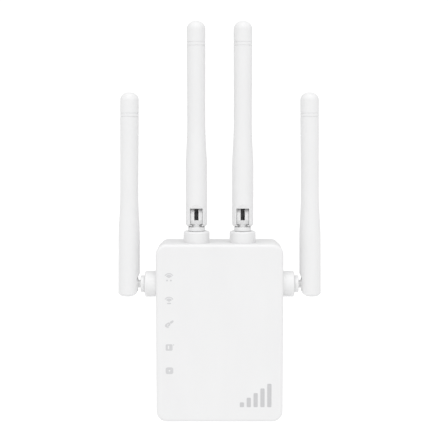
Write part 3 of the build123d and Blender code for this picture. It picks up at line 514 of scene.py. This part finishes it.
def capacitor_finish(name, low, high):
    """Shrunk sleeves with a pale stripe, open at the ends to the cans, two lying and two standing."""
    f = Finish(name)
    x, y, z = f.axes()
    apart = 4.5 * mm  # half of the space between the axes of each pair
    lying_x, lying_y, lying_z = low.x + 8.495 * mm, low.y + 4.0 * mm, low.z + 6.0 * mm
    standing_x, standing_z = high.x - 3.15 * mm, high.z - 7.65 * mm
    lying = z < -5.5 * mm
    stand_end = f.above(low.y + 0.06 * mm - y, 0.0, 0.02 * mm) * (1 - lying)
    lie_end = f.above(abs(z - lying_z), 5.94 * mm, 0.02 * mm) * lying
    lie_side, stand_side = abs(x - lying_x) - apart, abs(z - standing_z) - apart
    lid = lie_end * f.above(3.3 * mm - f.across(lie_side, y - lying_y), 0.0)
    lid = lid + stand_end * f.above(2.5 * mm - f.across(x - standing_x, stand_side), 0.0)
    shaded_score = f.within(x - standing_x, 0.1 * mm, 0.06 * mm) + f.within(stand_side, 0.1 * mm, 0.06 * mm)
    stripe = lying * (y < lying_y - 1.9 * mm) * f.within(lie_side, 1.6 * mm, 0.1 * mm)
    beside = f.within(z - standing_z, 3.0 * mm, 0.1 * mm) * f.above(x, standing_x + 2.1 * mm, 0.1 * mm)
    stripe = stripe + (1 - lying) * beside
    wrinkle = f.noise(0.9 * mm, 3.0, size=(1, 1, 2.0))
    sleeve = f.mix(wrinkle, (0.012, 0.016, 0.03), (0.03, 0.038, 0.065))
    sleeve = f.mix(stripe * 0.9, sleeve, (0.5, 0.52, 0.55))
    tone = f.mix(lid, sleeve, (0.72, 0.72, 0.73))
    # painted shade: the scored lines on the can ends are painted darker for the shade in their grooves
    tone = f.mix(lid * shaded_score * 0.5, tone, (0.3, 0.3, 0.3))
    height = wrinkle * (0.012 * mm) - lid * shaded_score * stand_end * (0.08 * mm)
    return f.done(tone, 0.34 + wrinkle * 0.14, height, metallic=lid * 0.95)


def component_finish(name, fuse, disc):
    """Black moulded epoxy, with a pale fuse between metal caps and a blue surge disc where those stand."""
    f = Finish(name)
    x, y, z = f.axes()
    is_fuse = (x > fuse.x) * (z < fuse.y)
    cap = is_fuse * f.above(abs(z - fuse.z), 3.1 * mm)
    is_disc = f.within(z - disc.y, 3.8 * mm) * (x > disc.x) * (y < disc.z)
    grit = f.noise(0.12 * mm, 3.0, 0.7)
    patch = f.noise(1.6 * mm, 3.0)
    tone = f.mix(grit, (0.013, 0.013, 0.014), (0.035, 0.035, 0.037))
    tone = f.mix(is_fuse, tone, f.mix(patch, (0.55, 0.47, 0.33), (0.66, 0.6, 0.46)))
    tone = f.mix(is_disc, tone, f.mix(patch, (0.02, 0.11, 0.3), (0.03, 0.15, 0.38)))
    tone = f.mix(cap, tone, (0.68, 0.66, 0.62))
    rough = 0.58 - is_disc * 0.3 - cap * 0.25 + grit * 0.12
    height = grit * (0.008 * mm) + patch * is_disc * (0.05 * mm)
    return f.done(tone, rough, height, metallic=cap * 0.95)


def processor_finish(name):
    """Moulded chip bodies, with fine grit and a slight pull in the surface."""
    f = Finish(name)
    grit = f.noise(0.1 * mm, 3.0, 0.7)
    pull = f.noise(0.7 * mm, 2.0, size=(0.3, 1, 1))
    tone = f.mix(grit, (0.014, 0.014, 0.015), (0.04, 0.04, 0.042))
    height = grit * (0.006 * mm) + pull * (0.004 * mm)
    return f.done(tone, 0.52 + grit * 0.16 + pull * 0.06, height)


def chip_finish(name):
    """Small soldered parts: dark or pale ceramic between bright tinned ends."""
    f = Finish(name)
    end = f.add("ShaderNodeAttribute", {"attribute_name": "tinned"}, out="Fac")
    kind = f.add("ShaderNodeAttribute", {"attribute_name": "pale"}, out="Fac")
    grit = f.noise(0.1 * mm, 3.0)
    tone = f.mix(kind > 0.5, (0.018, 0.018, 0.02), (0.33, 0.22, 0.13))
    tone = f.mix(grit * 0.3, tone, (0.08, 0.07, 0.06))
    tone = f.mix(end, tone, (0.66, 0.66, 0.65))
    return f.done(tone, 0.35 + grit * 0.2, grit * (0.006 * mm), metallic=end * 0.95)


def anodised_finish(name):
    """Black anodised extrusion with long lines along its fins."""
    f = Finish(name)
    lines = f.noise(0.1 * mm, 3.0, 0.7, size=(1, 1, 40))
    dust = f.noise(1.8 * mm, 4.0)
    tone = f.mix(lines, (0.02, 0.021, 0.023), (0.055, 0.056, 0.06))
    tone = f.mix(dust * 0.2, tone, (0.16, 0.16, 0.16))
    return f.done(tone, 0.36 + lines * 0.16, lines * (0.01 * mm), metallic=0.7)


def shield_finish(name, low, high):
    """Tin plate with rolling marks, a pressed border and a row of small vents, painted near-black as painted
    shade.
    """
    f = Finish(name)
    x, y, z = f.axes((low + high) / 2)
    half_x, half_z = (high.x - low.x) / 2, (high.z - low.z) / 2
    top = f.above(y, (high.y - low.y) / 2 - 0.2 * mm)
    inside = f.within(x, half_x - 1.3 * mm, 0.3 * mm) * f.within(z, half_z - 1.3 * mm, 0.3 * mm)
    pitch = 2.4 * mm
    local_x, local_z = ((x / pitch).fraction() - 0.5) * pitch, ((z / pitch).fraction() - 0.5) * pitch
    shaded_vent = top * inside * (1 - f.above(f.across(local_x, local_z), 0.42 * mm, 0.06 * mm))
    rolled = f.noise(0.12 * mm, 3.0, 0.7, size=(25, 1, 1))
    bloom = f.noise(3 * mm, 4.0)
    tone = f.mix(bloom, (0.6, 0.6, 0.58), (0.78, 0.78, 0.77))
    # painted shade: each vent is painted near-black for the dark inside seen through it
    tone = f.mix(shaded_vent, tone, (0.01, 0.01, 0.01))
    height = rolled * (0.003 * mm) + inside * top * (0.05 * mm) - shaded_vent * (0.2 * mm)
    return f.done(tone, 0.26 + rolled * 0.12 + bloom * 0.1, height, metallic=1 - shaded_vent)


def led_finish(name, low, high, count):
    """White lamp packages, each with its round phosphor window."""
    f = Finish(name)
    x, y, z = f.axes((low + high) / 2)
    body = 1.6 * mm
    pitch = (high.z - low.z - body) / (count - 1)
    near = ((z / pitch + 0.5 * count).fraction() - 0.5) * pitch
    window = 1 - f.above(f.across(x, near), 0.55 * mm, 0.06 * mm)
    front = 1 - f.above(y, -0.2 * mm)
    solder = f.above(abs(x), 1.2 * mm)
    grit = f.noise(0.14 * mm, 3.0)
    tone = f.mix(grit, (0.7, 0.7, 0.68), (0.8, 0.8, 0.79))
    tone = f.mix(window * front, tone, (0.8, 0.56, 0.06))
    tone = f.mix(solder, tone, (0.6, 0.6, 0.58))
    height = grit * (0.004 * mm) - window * front * (0.1 * mm)
    return f.done(tone, 0.4 - window * 0.2 + grit * 0.1, height, metallic=solder * 0.9)


def clear_finish(name):
    """Polished clear acrylic with a faint drawn waviness."""
    f = Finish(name)
    wave = f.noise(1.6 * mm, 2.0, size=(1, 1, 3))
    tone = f.mix(wave, (0.93, 0.95, 0.96), (0.98, 0.99, 0.99))
    return f.done(tone, 0.06 + wave * 0.05, wave * (0.02 * mm), transmission_weight=0.92, ior=1.49)


def paper_finish(name):
    """Stiff insulating paper with short fibres."""
    f = Finish(name)
    fibre = f.noise(0.35 * mm, 5.0, 0.7, size=(0.5, 1, 2.2))
    cloud = f.noise(5 * mm, 2.0)
    tone = f.mix(fibre, (0.5, 0.53, 0.5), (0.68, 0.7, 0.66))
    tone = f.mix(cloud * 0.3, tone, (0.55, 0.55, 0.48))
    return f.done(tone, 0.6 + fibre * 0.2, fibre * (0.015 * mm))


def cable_finish(name):
    """A dark extruded jacket, slightly ribbed by the screen under it."""
    f = Finish(name)
    weave = f.cells(0.32 * mm, randomness=0.35)
    bloom = f.noise(1.5 * mm, 3.0)
    tone = f.mix(bloom, (0.022, 0.022, 0.024), (0.05, 0.05, 0.052))
    return f.done(tone, 0.38 + bloom * 0.16, weave * (0.012 * mm))


def flowed_metal(name, dark, light, run, depth, gloss, dulling, **constants):
    """Solder or lacquered wire: a metal whose surface has run a little."""
    f = Finish(name)
    flow = f.noise(run, 3.0)
    tone = f.mix(flow, dark, light)
    return f.done(tone, gloss + flow * dulling, flow * depth, metallic=1.0, **constants)


# ---- Operators -----------------------------------------------------------------------------------
class EXTENDER_OT_housing(bpy.types.Operator):
    """Give the two covers, the button and the rating label their finishes"""

    bl_idname = "extender.housing"
    bl_label = "Housing"

    def execute(self, context):
        plastic = context.scene.extender_plastic
        base, grain, depth = tuple(plastic.housing_colour), plastic.grain, plastic.grain_depth
        coat(moulded("housing_white", base, 0.4, grain, depth), "front_cover", "rear_cover")
        coat(moulded("button_white", base, 0.32, grain * 0.7, depth * 0.5), "wps_button")
        plunger = moulded("plunger_acetal", (0.55, 0.55, 0.53), 0.36, grain, depth * 0.5)
        coat(plunger, "wps_plunger", "reset_plunger")
        coat(label_finish("label_film", *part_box("rating_label")), "rating_label")
        return {"FINISHED"}


class EXTENDER_OT_plug(bpy.types.Operator):
    """Give the plug block, its pins, their sleeves and the strips inside their finishes"""

    bl_idname = "extender.plug"
    bl_label = "Plug"

    def execute(self, context):
        plastic = context.scene.extender_plastic
        base, grain, depth = tuple(plastic.plug_colour), plastic.grain, plastic.grain_depth
        coat(moulded("plug_white", base, 0.44, grain * 0.8, depth), "plug_block")
        coat(drawn_metal("pin_nickel", (0.76, 0.75, 0.73), 0.16, (1, 30, 1), (0.52, 0.5, 0.47)), "plug_pins")
        coat(moulded("sleeve_black", (0.022, 0.022, 0.024), 0.42, grain, depth), "pin_sleeves")
        brass = drawn_metal("strip_brass", (0.78, 0.56, 0.26), 0.2, (1, 25, 1), (0.42, 0.26, 0.1))
        coat(brass, "pin_contacts")
        return {"FINISHED"}


class EXTENDER_OT_antennas(bpy.types.Operator):
    """Give the collars, nuts, knuckles, rods, cables and radiators their finishes"""

    bl_idname = "extender.antennas"
    bl_label = "Antennas"

    def execute(self, context):
        plastic = context.scene.extender_plastic
        base, grain, depth = tuple(plastic.antenna_colour), plastic.grain, plastic.grain_depth
        line, axis_y = plastic.mould_line, sum(corner.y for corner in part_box("antenna_collar_top_left")) / 2
        rod = moulded("rod_white", base, 0.38, grain * 0.8, depth * 0.7, line, axis_y)
        knuckle = moulded("knuckle_white", base, 0.34, grain * 0.7, depth * 0.6, line * 0.8, axis_y)
        collar = moulded("collar_white", base, 0.36, grain, depth * 0.8)
        nut = moulded("nut_nylon", (0.66, 0.66, 0.6), 0.4, grain, depth, subsurface_weight=0.1)
        nut.node_tree.nodes["Principled BSDF"].inputs["Subsurface Scale"].default_value = 0.5 * mm
        cable = cable_finish("cable_jacket")
        brass = drawn_metal("radiator_brass", (0.78, 0.57, 0.27), 0.22, (1, 1, 30), (0.45, 0.3, 0.12))
        for name in antennas:
            coat(rod, f"antenna_sleeve_{name}", f"antenna_cap_{name}")
            coat(knuckle, f"knuckle_{name}")
            coat(collar, f"antenna_collar_{name}")
            coat(cable, f"coax_link_{name}", f"coax_lead_{name}")
            coat(brass, f"radiator_{name}")
        coat(nut, "collar_nuts")
        return {"FINISHED"}


class EXTENDER_OT_power_board(bpy.types.Operator):
    """Give the power board and its parts their finishes"""

    bl_idname = "extender.power_board"
    bl_label = "Power board"

    def execute(self, context):
        board = context.scene.extender_board
        laminate = power_board_finish("paper_laminate", tuple(board.laminate_colour), *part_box("power_board"))
        coat(laminate, "power_board")
        taped = transformer_finish("ferrite_and_tape", tuple(board.tape_colour), *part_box("transformer"))
        coat(taped, "transformer")
        coat(capacitor_finish("capacitor_sleeve", *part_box("power_capacitors")), "power_capacitors")
        low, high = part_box("power_small_parts")
        fuse = Vector((high.x - 6.5 * mm, low.z + 10.1 * mm, low.z + 5 * mm))
        disc = Vector((high.x - 4.6 * mm, low.z + 19 * mm, high.y - 0.2 * mm))
        coat(component_finish("epoxy_and_fuse", fuse, disc), "power_small_parts")
        coat(paper_finish("insulating_paper"), "insulation_sheet")
        header = moulded("header_black", (0.018, 0.018, 0.019), 0.46, 0.2 * mm, 0.006 * mm)
        coat(header, "board_header")
        return {"FINISHED"}


class EXTENDER_OT_main_board(bpy.types.Operator):
    """Give the main board and its parts their finishes"""

    bl_idname = "extender.main_board"
    bl_label = "Main board"

    def execute(self, context):
        board = context.scene.extender_board
        coat(main_board_finish("lacquered_board", tuple(board.mask_colour)), "main_board")
        jack = moulded("jack_black", (0.02, 0.02, 0.021), 0.42, 0.22 * mm, 0.008 * mm)
        coat(jack, "lan_jack")
        gold = drawn_metal("contact_gold", (0.95, 0.68, 0.3), 0.14, (1, 1, 12), (0.7, 0.45, 0.18))
        coat(gold, "jack_contacts", "coax_connectors")
        coat(processor_finish("chip_epoxy"), "processor_chips")
        coat(anodised_finish("black_anodised"), "heat_sink")
        coat(shield_finish("tin_plate", *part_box("shield_can")), "shield_can")
        coat(led_finish("lamp_white", *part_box("indicator_leds"), 5), "indicator_leds")
        coat(clear_finish("clear_acrylic"), "light_guide")
        switch = moulded("switch_black", (0.025, 0.025, 0.027), 0.48, 0.18 * mm, 0.007 * mm)
        coat(switch, "button_switches")
        return {"FINISHED"}


class EXTENDER_OT_screws(bpy.types.Operator):
    """Give the screws their plated, turned finish"""

    bl_idname = "extender.screws"
    bl_label = "Screws"

    def execute(self, context):
        head_radius = 1.89 * mm
        for node, finish in (("cover_screws", "screw_zinc"), ("board_screws", "board_screw_zinc")):
            low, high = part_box(node)
            spacing = Vector((high.x - head_radius, (low.z + high.z) / 2, (high.z - low.z) / 2 - head_radius))
            coat(turned_metal(finish, (0.58, 0.58, 0.57), 0.24, spacing), node)
        return {"FINISHED"}


class EXTENDER_OT_small_parts(bpy.types.Operator):
    """Solder small parts on the main board, joints on the power board and wire on the choke"""

    bl_idname = "extender.small_parts"
    bl_label = "Small parts"

    def execute(self, context):
        board = context.scene.extender_board
        self.chips(board)
        self.joints(board)
        self.winding(board)
        return {"FINISHED"}

    def chips(self, board):
        low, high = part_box("main_board")
        taken = ["lan_jack", "board_header", "heat_sink", "shield_can", "button_switches", "coax_connectors"]
        taken = [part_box(name) for name in taken]
        taken += [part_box(f"coax_lead_{name}") for name in antennas]
        chips_low, chips_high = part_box("processor_chips")
        taken += [(chips_low, chips_high + Vector((0, 0, 0.5 * mm)))]
        margin, edge, corner, lower_screws = 1.4 * mm, 2.6 * mm, 5.5 * mm, low.z + 21 * mm
        columns = int((high.x - low.x - 2 * edge) / board.chip_pitch)
        rows = int((high.z - low.z - 2 * edge) / board.chip_pitch)
        points = []
        for i, j in itertools.product(range(columns + 1), range(rows + 1)):
            x, z = low.x + edge + i * board.chip_pitch, low.z + edge + j * board.chip_pitch
            near = [(a, b) for a, b in taken if a.x - margin < x < b.x + margin]
            covered = any(a.z - margin < z < b.z + margin for a, b in near)
            at_side = x < low.x + corner or x > high.x - corner
            if not covered and not (at_side and (z > high.z - corner or z < lower_screws)):
                points.append((x, high.y, z))
        sizes = {"Length": board.chip_length, "Share": 0.62, "Seed": 7}
        tree = Growth("Small parts", sizes, chip_finish("chip_ceramic"))
        keep = tree.drawn_lots({"Probability": tree.size("Share"), "Seed": tree.size("Seed")}, "BOOLEAN", 3)
        long = tree.size("Length")
        body = tree.point(long * 0.8, long * 0.28, long * 0.5)
        body = tree.add("GeometryNodeMeshCube", None, {"Size": body})
        end = tree.point(long * 0.2, long * 0.32, long * 0.54)
        end = tree.add("GeometryNodeMeshCube", None, {"Size": end})
        end = tree.stored(end, "tinned", 1.0, domain="POINT")
        ends = tree.add("GeometryNodeMeshLine", {"mode": "END_POINTS"}, {
            "Count": 2, "Start Location": tree.point(long * -0.42), "Offset": tree.point(long * 0.42),
        })
        ends = tree.add("GeometryNodeRealizeInstances", None, {"Geometry": tree.copies(ends, end)})
        chip = tree.moved(tree.joined(ends, body), tree.point(0.0, long * 0.16, 0.0))
        turned = tree.drawn_lots({"Seed": 11}, "BOOLEAN", 3)
        turned = tree.point(0.0, turned * (math.pi / 2), 0.0)
        scale = tree.drawn_lots({2: 0.6, 3: 1.0, "Seed": 5})
        placed = tree.copies(tree.start, chip, Rotation=turned, Scale=scale, Selection=keep)
        tree.end(tree.stored(placed, "pale", tree.drawn_lots({"Seed": 23})))
        settle(tree.grow("chip_parts", points_mesh("chip_places", points)), "housing")

    def joints(self, board):
        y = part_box("power_board")[1].y
        places = []
        low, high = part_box("transformer")
        for k in range(4):
            x = (low.x + high.x) / 2 + (k - 1.5) * 2.2 * mm
            places += [(x, low.z + 0.9 * mm), (x, high.z - 0.9 * mm)]
        low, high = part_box("power_capacitors")
        for x in (low.x + 4 * mm, low.x + 13 * mm):
            places += [(x - 1.8 * mm, high.z - 22.4 * mm), (x + 1.8 * mm, high.z - 22.4 * mm)]
        for z in (high.z - 3.15 * mm, high.z - 12.15 * mm):
            places += [(high.x - 3.15 * mm, z - 1.3 * mm), (high.x - 3.15 * mm, z + 1.3 * mm)]
        low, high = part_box("power_small_parts")
        places += [(high.x - 4.0 * mm, low.z + 0.8 * mm), (high.x - 4.0 * mm, low.z + 9.2 * mm)]
        places += [(high.x - 13.0 * mm, low.z + 3.2 * mm), (high.x - 13.0 * mm, low.z + 6.8 * mm)]
        low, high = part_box("board_header")
        places += [(low.x + (k + 0.5) * (high.x - low.x) / 3, (low.z + high.z) / 2) for k in range(3)]
        low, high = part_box("pin_contacts")
        strip_x, room = high.x - 2 * mm, 3.2 * mm
        clear = [abs(abs(x) - strip_x) > room or abs(z - (low.z + high.z) / 2) > 5 * mm for x, z in places]
        places = [(x, y, z) for (x, z), kept in zip(places, clear, strict=True) if kept]
        sizes = {"Radius": board.joint_radius, "Sides": 12}
        solder = flowed_metal("solder", (0.5, 0.5, 0.49), (0.7, 0.7, 0.69), 0.5 * mm, 0.03 * mm, 0.18, 0.22)
        tree = Growth("Solder joints", sizes, solder)
        radius, sides = tree.size("Radius"), tree.size("Sides")
        cone = {"Vertices": sides, "Side Segments": 1}
        foot = {**cone, "Radius Top": radius * 0.55, "Radius Bottom": radius, "Depth": radius * 0.35}
        foot = tree.add("GeometryNodeMeshCone", None, foot)
        tip = {**cone, "Radius Top": radius * 0.2, "Radius Bottom": radius * 0.55, "Depth": radius * 0.5}
        tip = tree.add("GeometryNodeMeshCone", None, tip)
        tip = tree.moved(tip, tree.point(0.0, 0.0, radius * 0.35))
        both = {"Geometry": tree.joined(foot, tip), "Distance": 0.01 * mm}
        both = tree.add("GeometryNodeMergeByDistance", None, both)
        both = tree.add("GeometryNodeSetShadeSmooth", None, {"Geometry": both})
        tree.end(tree.copies(tree.start, both, Rotation=(-math.pi / 2, 0.0, 0.0)))
        settle(tree.grow("solder_joints", points_mesh("joint_places", places)), "housing")

    def winding(self, board):
        low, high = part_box("power_small_parts")
        wire = board.wire_radius
        waist, flange, choke_height, lay = 2.6 * mm, 1.1 * mm, 7.5 * mm, 2.02 * wire
        top, bottom = high.y - choke_height + flange, high.y - flange
        centre = Vector((high.x - 13.0 * mm, 0, low.z + 5.0 * mm))
        turns = int((bottom - top) / lay) - 1
        sizes = {"Turns": float(turns), "Radius": waist + 1.05 * wire, "Wire": wire, "Height": turns * lay}
        tones = (0.5, 0.15, 0.05), (0.72, 0.27, 0.11)
        copper = flowed_metal("lacquered_copper", *tones, 0.9 * mm, 0.01 * mm, 0.22, 0.12, coat_weight=0.6)
        tree = Growth("Choke winding", sizes, copper)
        spiral = {"Resolution": 40, "Rotations": tree.size("Turns"), "Start Radius": tree.size("Radius")}
        spiral |= {"End Radius": tree.size("Radius"), "Height": tree.size("Height")}
        spiral = tree.add("GeometryNodeCurveSpiral", None, spiral)
        circle = {"Resolution": 10, "Radius": tree.size("Wire")}
        circle = tree.add("GeometryNodeCurvePrimitiveCircle", {"mode": "RADIUS"}, circle)
        coil = {"Curve": spiral, "Profile Curve": circle, "Fill Caps": True}
        coil = tree.add("GeometryNodeCurveToMesh", None, coil)
        start = (top + bottom - turns * lay) / 2
        tree.end(tree.moved(coil, (centre.x, start, centre.z), (-math.pi / 2, 0.0, 0.0)))
        settle(tree.grow("choke_winding"), "housing")


class EXTENDER_OT_pictograms(bpy.types.Operator):
    """Print a generic pictogram in front of each lamp"""

    bl_idname = "extender.pictograms"
    bl_label = "Pictograms"

    def execute(self, context):
        print_settings = context.scene.extender_print
        low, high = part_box("light_guide")
        post = 1.2 * mm  # half of a light post
        x, first, last = low.x + post, low.z + post, high.z - post
        face = cad_box[0].y
        marks = [self.ring(), self.port(), self.link(), self.fan(1.95, 1.6, False), self.fan(1.95, 1.65, True)]
        outlines = []
        for index, mark in enumerate(marks):
            z = first + index * (last - first) / (len(marks) - 1)
            outlines += [[(x + u * mm, z + v * mm) for u, v in outline] for outline in mark]
        ink = ink_finish("mark_ink", tuple(print_settings.ink))
        made = flat_print("pictograms", outlines, print_settings.thickness, Vector((0, face, 0)), ink)
        settle(made, "housing")
        return {"FINISHED"}

    @staticmethod
    def arc(centre, radius, start, stop, steps=16):
        angles = [math.radians(start + (stop - start) * i / steps) for i in range(steps + 1)]
        return [(centre[0] + radius * math.cos(a), centre[1] + radius * math.sin(a)) for a in angles]

    def band(self, centre, inner, outer, start, stop):
        return self.arc(centre, outer, start, stop) + self.arc(centre, inner, stop, start)

    def rounded(self, left, bottom, right, top, corner):
        outline = []
        for x, y, start in (
            (right - corner, top - corner, 0), (left + corner, top - corner, 90),
            (left + corner, bottom + corner, 180), (right - corner, bottom + corner, 270),
        ):
            outline += self.arc((x, y), corner, start, start + 90, 5)
        return outline

    def capsule(self, centre, half, radius, angle):
        dx, dy = half * math.cos(math.radians(angle)), half * math.sin(math.radians(angle))
        ends = self.arc((centre[0] + dx, centre[1] + dy), radius, angle - 90, angle + 90, 10)
        return ends + self.arc((centre[0] - dx, centre[1] - dy), radius, angle + 90, angle + 270, 10)

    def fan(self, gap_outer, gap_inner, two_bands):
        """A wireless fan over two dots, for the faster band, or over a dash, for the slower one."""
        foot = (-0.05, -0.6)
        mark = [self.band(foot, gap_outer, 2.4, 31, 149), self.arc(foot, gap_inner, 31, 149) + [foot]]
        if two_bands:
            return mark + [self.arc((s, -1.7), 0.42, 0, 342, 18) for s in (-0.95, 0.85)]
        return mark + [self.rounded(-1.0, -1.7, 0.9, -1.1, 0.25)]

    def link(self):
        """Two joined links on a slant."""
        outer = self.capsule((-0.75, -0.45), 0.55, 0.85, 38)
        upper = self.capsule((1.15, 0.95), 0.45, 0.55, 38)
        tail = [(-1.0, -1.1), (-0.45, -1.95), (-0.25, -0.95)]
        return [outer, upper, tail, self.capsule((-0.7, -0.4), 0.25, 0.2, 38)]

    def port(self):
        """A square port with its latch and a tab."""
        shell = self.rounded(-1.75, -1.55, 1.5, 1.5, 0.6)
        return [shell, self.rounded(-0.7, -0.85, -0.05, 0.85, 0.2), self.rounded(1.62, 0.95, 2.3, 1.45, 0.2)]

    def ring(self):
        """A rounded square ring."""
        return [self.rounded(-1.8, -1.6, 1.8, 1.6, 0.9), self.arc((0, 0), 0.42, 0, 345, 23)]


class EXTENDER_OT_signal_bars(bpy.types.Operator):
    """Print rising signal bars low on the front"""

    bl_idname = "extender.signal_bars"
    bl_label = "Signal bars"

    def execute(self, context):
        given = context.scene.extender_print
        low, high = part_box("front_cover")
        sizes = {
            "Bars": given.bar_count, "Width": given.bar_width, "Gap": given.bar_gap,
            "First height": given.bar_first, "Step": given.bar_step,
            "Thickness": given.thickness, "Corner": given.bar_corner,
        }
        ink = ink_finish("bar_ink", tuple(given.bar_ink))
        tree = Growth("Signal bars", sizes, ink)
        width, pitch = tree.size("Width"), tree.size("Width") + tree.size("Gap")
        first = tree.size("First height")
        bar = {"Width": width, "Height": first}
        bar = tree.add("GeometryNodeCurvePrimitiveQuadrilateral", {"mode": "RECTANGLE"}, bar)
        bar = {"Curve": bar, "Radius": tree.size("Corner"), "Count": 5}
        bar = tree.add("GeometryNodeFilletCurve", {"mode": "POLY"}, bar)
        face = tree.add("GeometryNodeFillCurve", None, {"Curve": bar})
        raised = {"Mesh": face, "Offset": (0.0, 0.0, 1.0), "Offset Scale": tree.size("Thickness")}
        raised = tree.add("GeometryNodeExtrudeMesh", {"mode": "FACES"}, {**raised, "Individual": False})
        back = tree.add("GeometryNodeFlipFaces", None, {"Mesh": face})
        closed = {"Geometry": tree.joined(raised, back), "Distance": 0.002 * mm}
        closed = tree.add("GeometryNodeMergeByDistance", None, closed)
        closed = tree.moved(closed, tree.point(width / 2, first / 2, 0.0))
        row = {"Count": tree.size("Bars"), "Offset": tree.point(pitch, 0.0, 0.0)}
        row = tree.copies(tree.add("GeometryNodeMeshLine", None, row), closed)
        row = tree.stored(row, "bar_number", tree.add("GeometryNodeInputIndex"), "INT")
        row = tree.add("GeometryNodeRealizeInstances", None, {"Geometry": row})
        number = tree.add("GeometryNodeInputNamedAttribute", {"data_type": "INT"}, {"Name": "bar_number"})
        up = tree.add("ShaderNodeSeparateXYZ", None, {0: tree.add("GeometryNodeInputPosition")}, "Y")
        rise = tree.point(0.0, number * tree.size("Step"), 0.0)
        row = {"Geometry": row, "Selection": up > first / 2, "Offset": rise}
        row = tree.add("GeometryNodeSetPosition", None, row)
        right, bottom = high.x - given.bars_from_right, low.z + given.bars_from_bottom
        left = right - (pitch * tree.size("Bars") - tree.size("Gap"))
        tree.end(tree.moved(row, tree.point(left, low.y, bottom), (math.pi / 2, 0.0, 0.0)))
        settle(tree.grow("signal_bars"), "housing")
        return {"FINISHED"}


class EXTENDER_OT_studio(bpy.types.Operator):
    """Set up the pale floor, the white surround, the soft light and the camera"""

    bl_idname = "extender.studio"
    bl_label = "Studio"

    def execute(self, context):
        scene, given = context.scene, context.scene.extender_studio
        low = cad_box[0]
        self.floor(low.z - given.floor_below)
        self.surround(scene, given.surround)
        spread, forward = math.radians(70), math.radians(31)
        sun = bpy.data.lights.new("soft_key", "SUN")
        sun.energy, sun.angle = given.key_light, spread
        light = bpy.data.objects.new("soft_key", sun)
        light.rotation_euler = (forward, 0, 0)
        scene.collection.objects.link(light)
        lens = bpy.data.cameras.new("camera")
        lens.lens, lens.sensor_width, lens.clip_start, lens.clip_end = given.lens, 36.0, 0.01, 100.0
        camera = bpy.data.objects.new("camera", lens)
        camera.location = (given.camera_side, low.y - given.distance, given.camera_height)
        camera.rotation_euler = (math.pi / 2 - given.tilt, 0, 0)
        scene.collection.objects.link(camera)
        scene.camera = camera
        scene.view_settings.view_transform = "Standard"
        scene.view_settings.look = "None"
        return {"FINISHED"}

    @staticmethod
    def floor(z):
        reach = 30.0
        mesh = bpy.data.meshes.new("floor")
        corners = [(-reach, -reach, z), (reach, -reach, z), (reach, reach, z), (-reach, reach, z)]
        mesh.from_pydata(corners, [], [(0, 1, 2, 3)])
        f = Finish("floor_paper")
        paper = f.noise(40 * mm, 3.0)
        mesh.materials.append(f.done(f.mix(paper, (0.955, 0.955, 0.955), (0.965, 0.965, 0.965)), 0.9))
        made = piece("floor", mesh)

    @staticmethod
    def surround(scene, strength):
        world = bpy.data.worlds.new("surround")
        world.use_nodes = True
        scene.world = world
        tree = Tree(world.node_tree)
        tree.tree.nodes.clear()
        seen = tree.add("ShaderNodeLightPath", out="Is Camera Ray")
        soft = tree.add("ShaderNodeBackground", None, {"Color": (1, 1, 1, 1), "Strength": strength})
        past_white = 1.1
        white = tree.add("ShaderNodeBackground", None, {"Color": (1, 1, 1, 1), "Strength": past_white})
        shown = tree.add("ShaderNodeMixShader", None, {0: seen, 1: soft, 2: white})
        tree.add("ShaderNodeOutputWorld", None, {"Surface": shown})


# ---- Panel and running ---------------------------------------------------------------------------
settings = {
    "extender_plastic": PlasticSettings,
    "extender_print": PrintSettings,
    "extender_board": BoardSettings,
    "extender_studio": StudioSettings,
}
operators = (
    EXTENDER_OT_housing,
    EXTENDER_OT_plug,
    EXTENDER_OT_antennas,
    EXTENDER_OT_power_board,
    EXTENDER_OT_main_board,
    EXTENDER_OT_screws,
    EXTENDER_OT_small_parts,
    EXTENDER_OT_pictograms,
    EXTENDER_OT_signal_bars,
    EXTENDER_OT_studio,
)


class EXTENDER_PT_panel(bpy.types.Panel):
    """Lists the steps that finish the extender, and their sizes and colours"""

    bl_idname = "EXTENDER_PT_panel"
    bl_label = "Range extender"
    bl_space_type = "VIEW_3D"
    bl_region_type = "UI"
    bl_category = "Extender"

    def draw(self, context):
        for operator in operators:
            self.layout.operator(operator.bl_idname)
        for name, group in settings.items():
            box = self.layout.box()
            for value in group.__annotations__:
                box.prop(getattr(context.scene, name), value)


def register():
    for group in (*settings.values(), *operators, EXTENDER_PT_panel):
        bpy.utils.register_class(group)
    for name, group in settings.items():
        setattr(bpy.types.Scene, name, PointerProperty(type=group))


def unregister():
    for name in settings:
        delattr(bpy.types.Scene, name)
    for group in reversed((*settings.values(), *operators, EXTENDER_PT_panel)):
        bpy.utils.unregister_class(group)


def main():
    register()
    for operator in operators:
        group, name = operator.bl_idname.split(".")
        getattr(getattr(bpy.ops, group), name)()


if __name__ == "__main__":
    main()
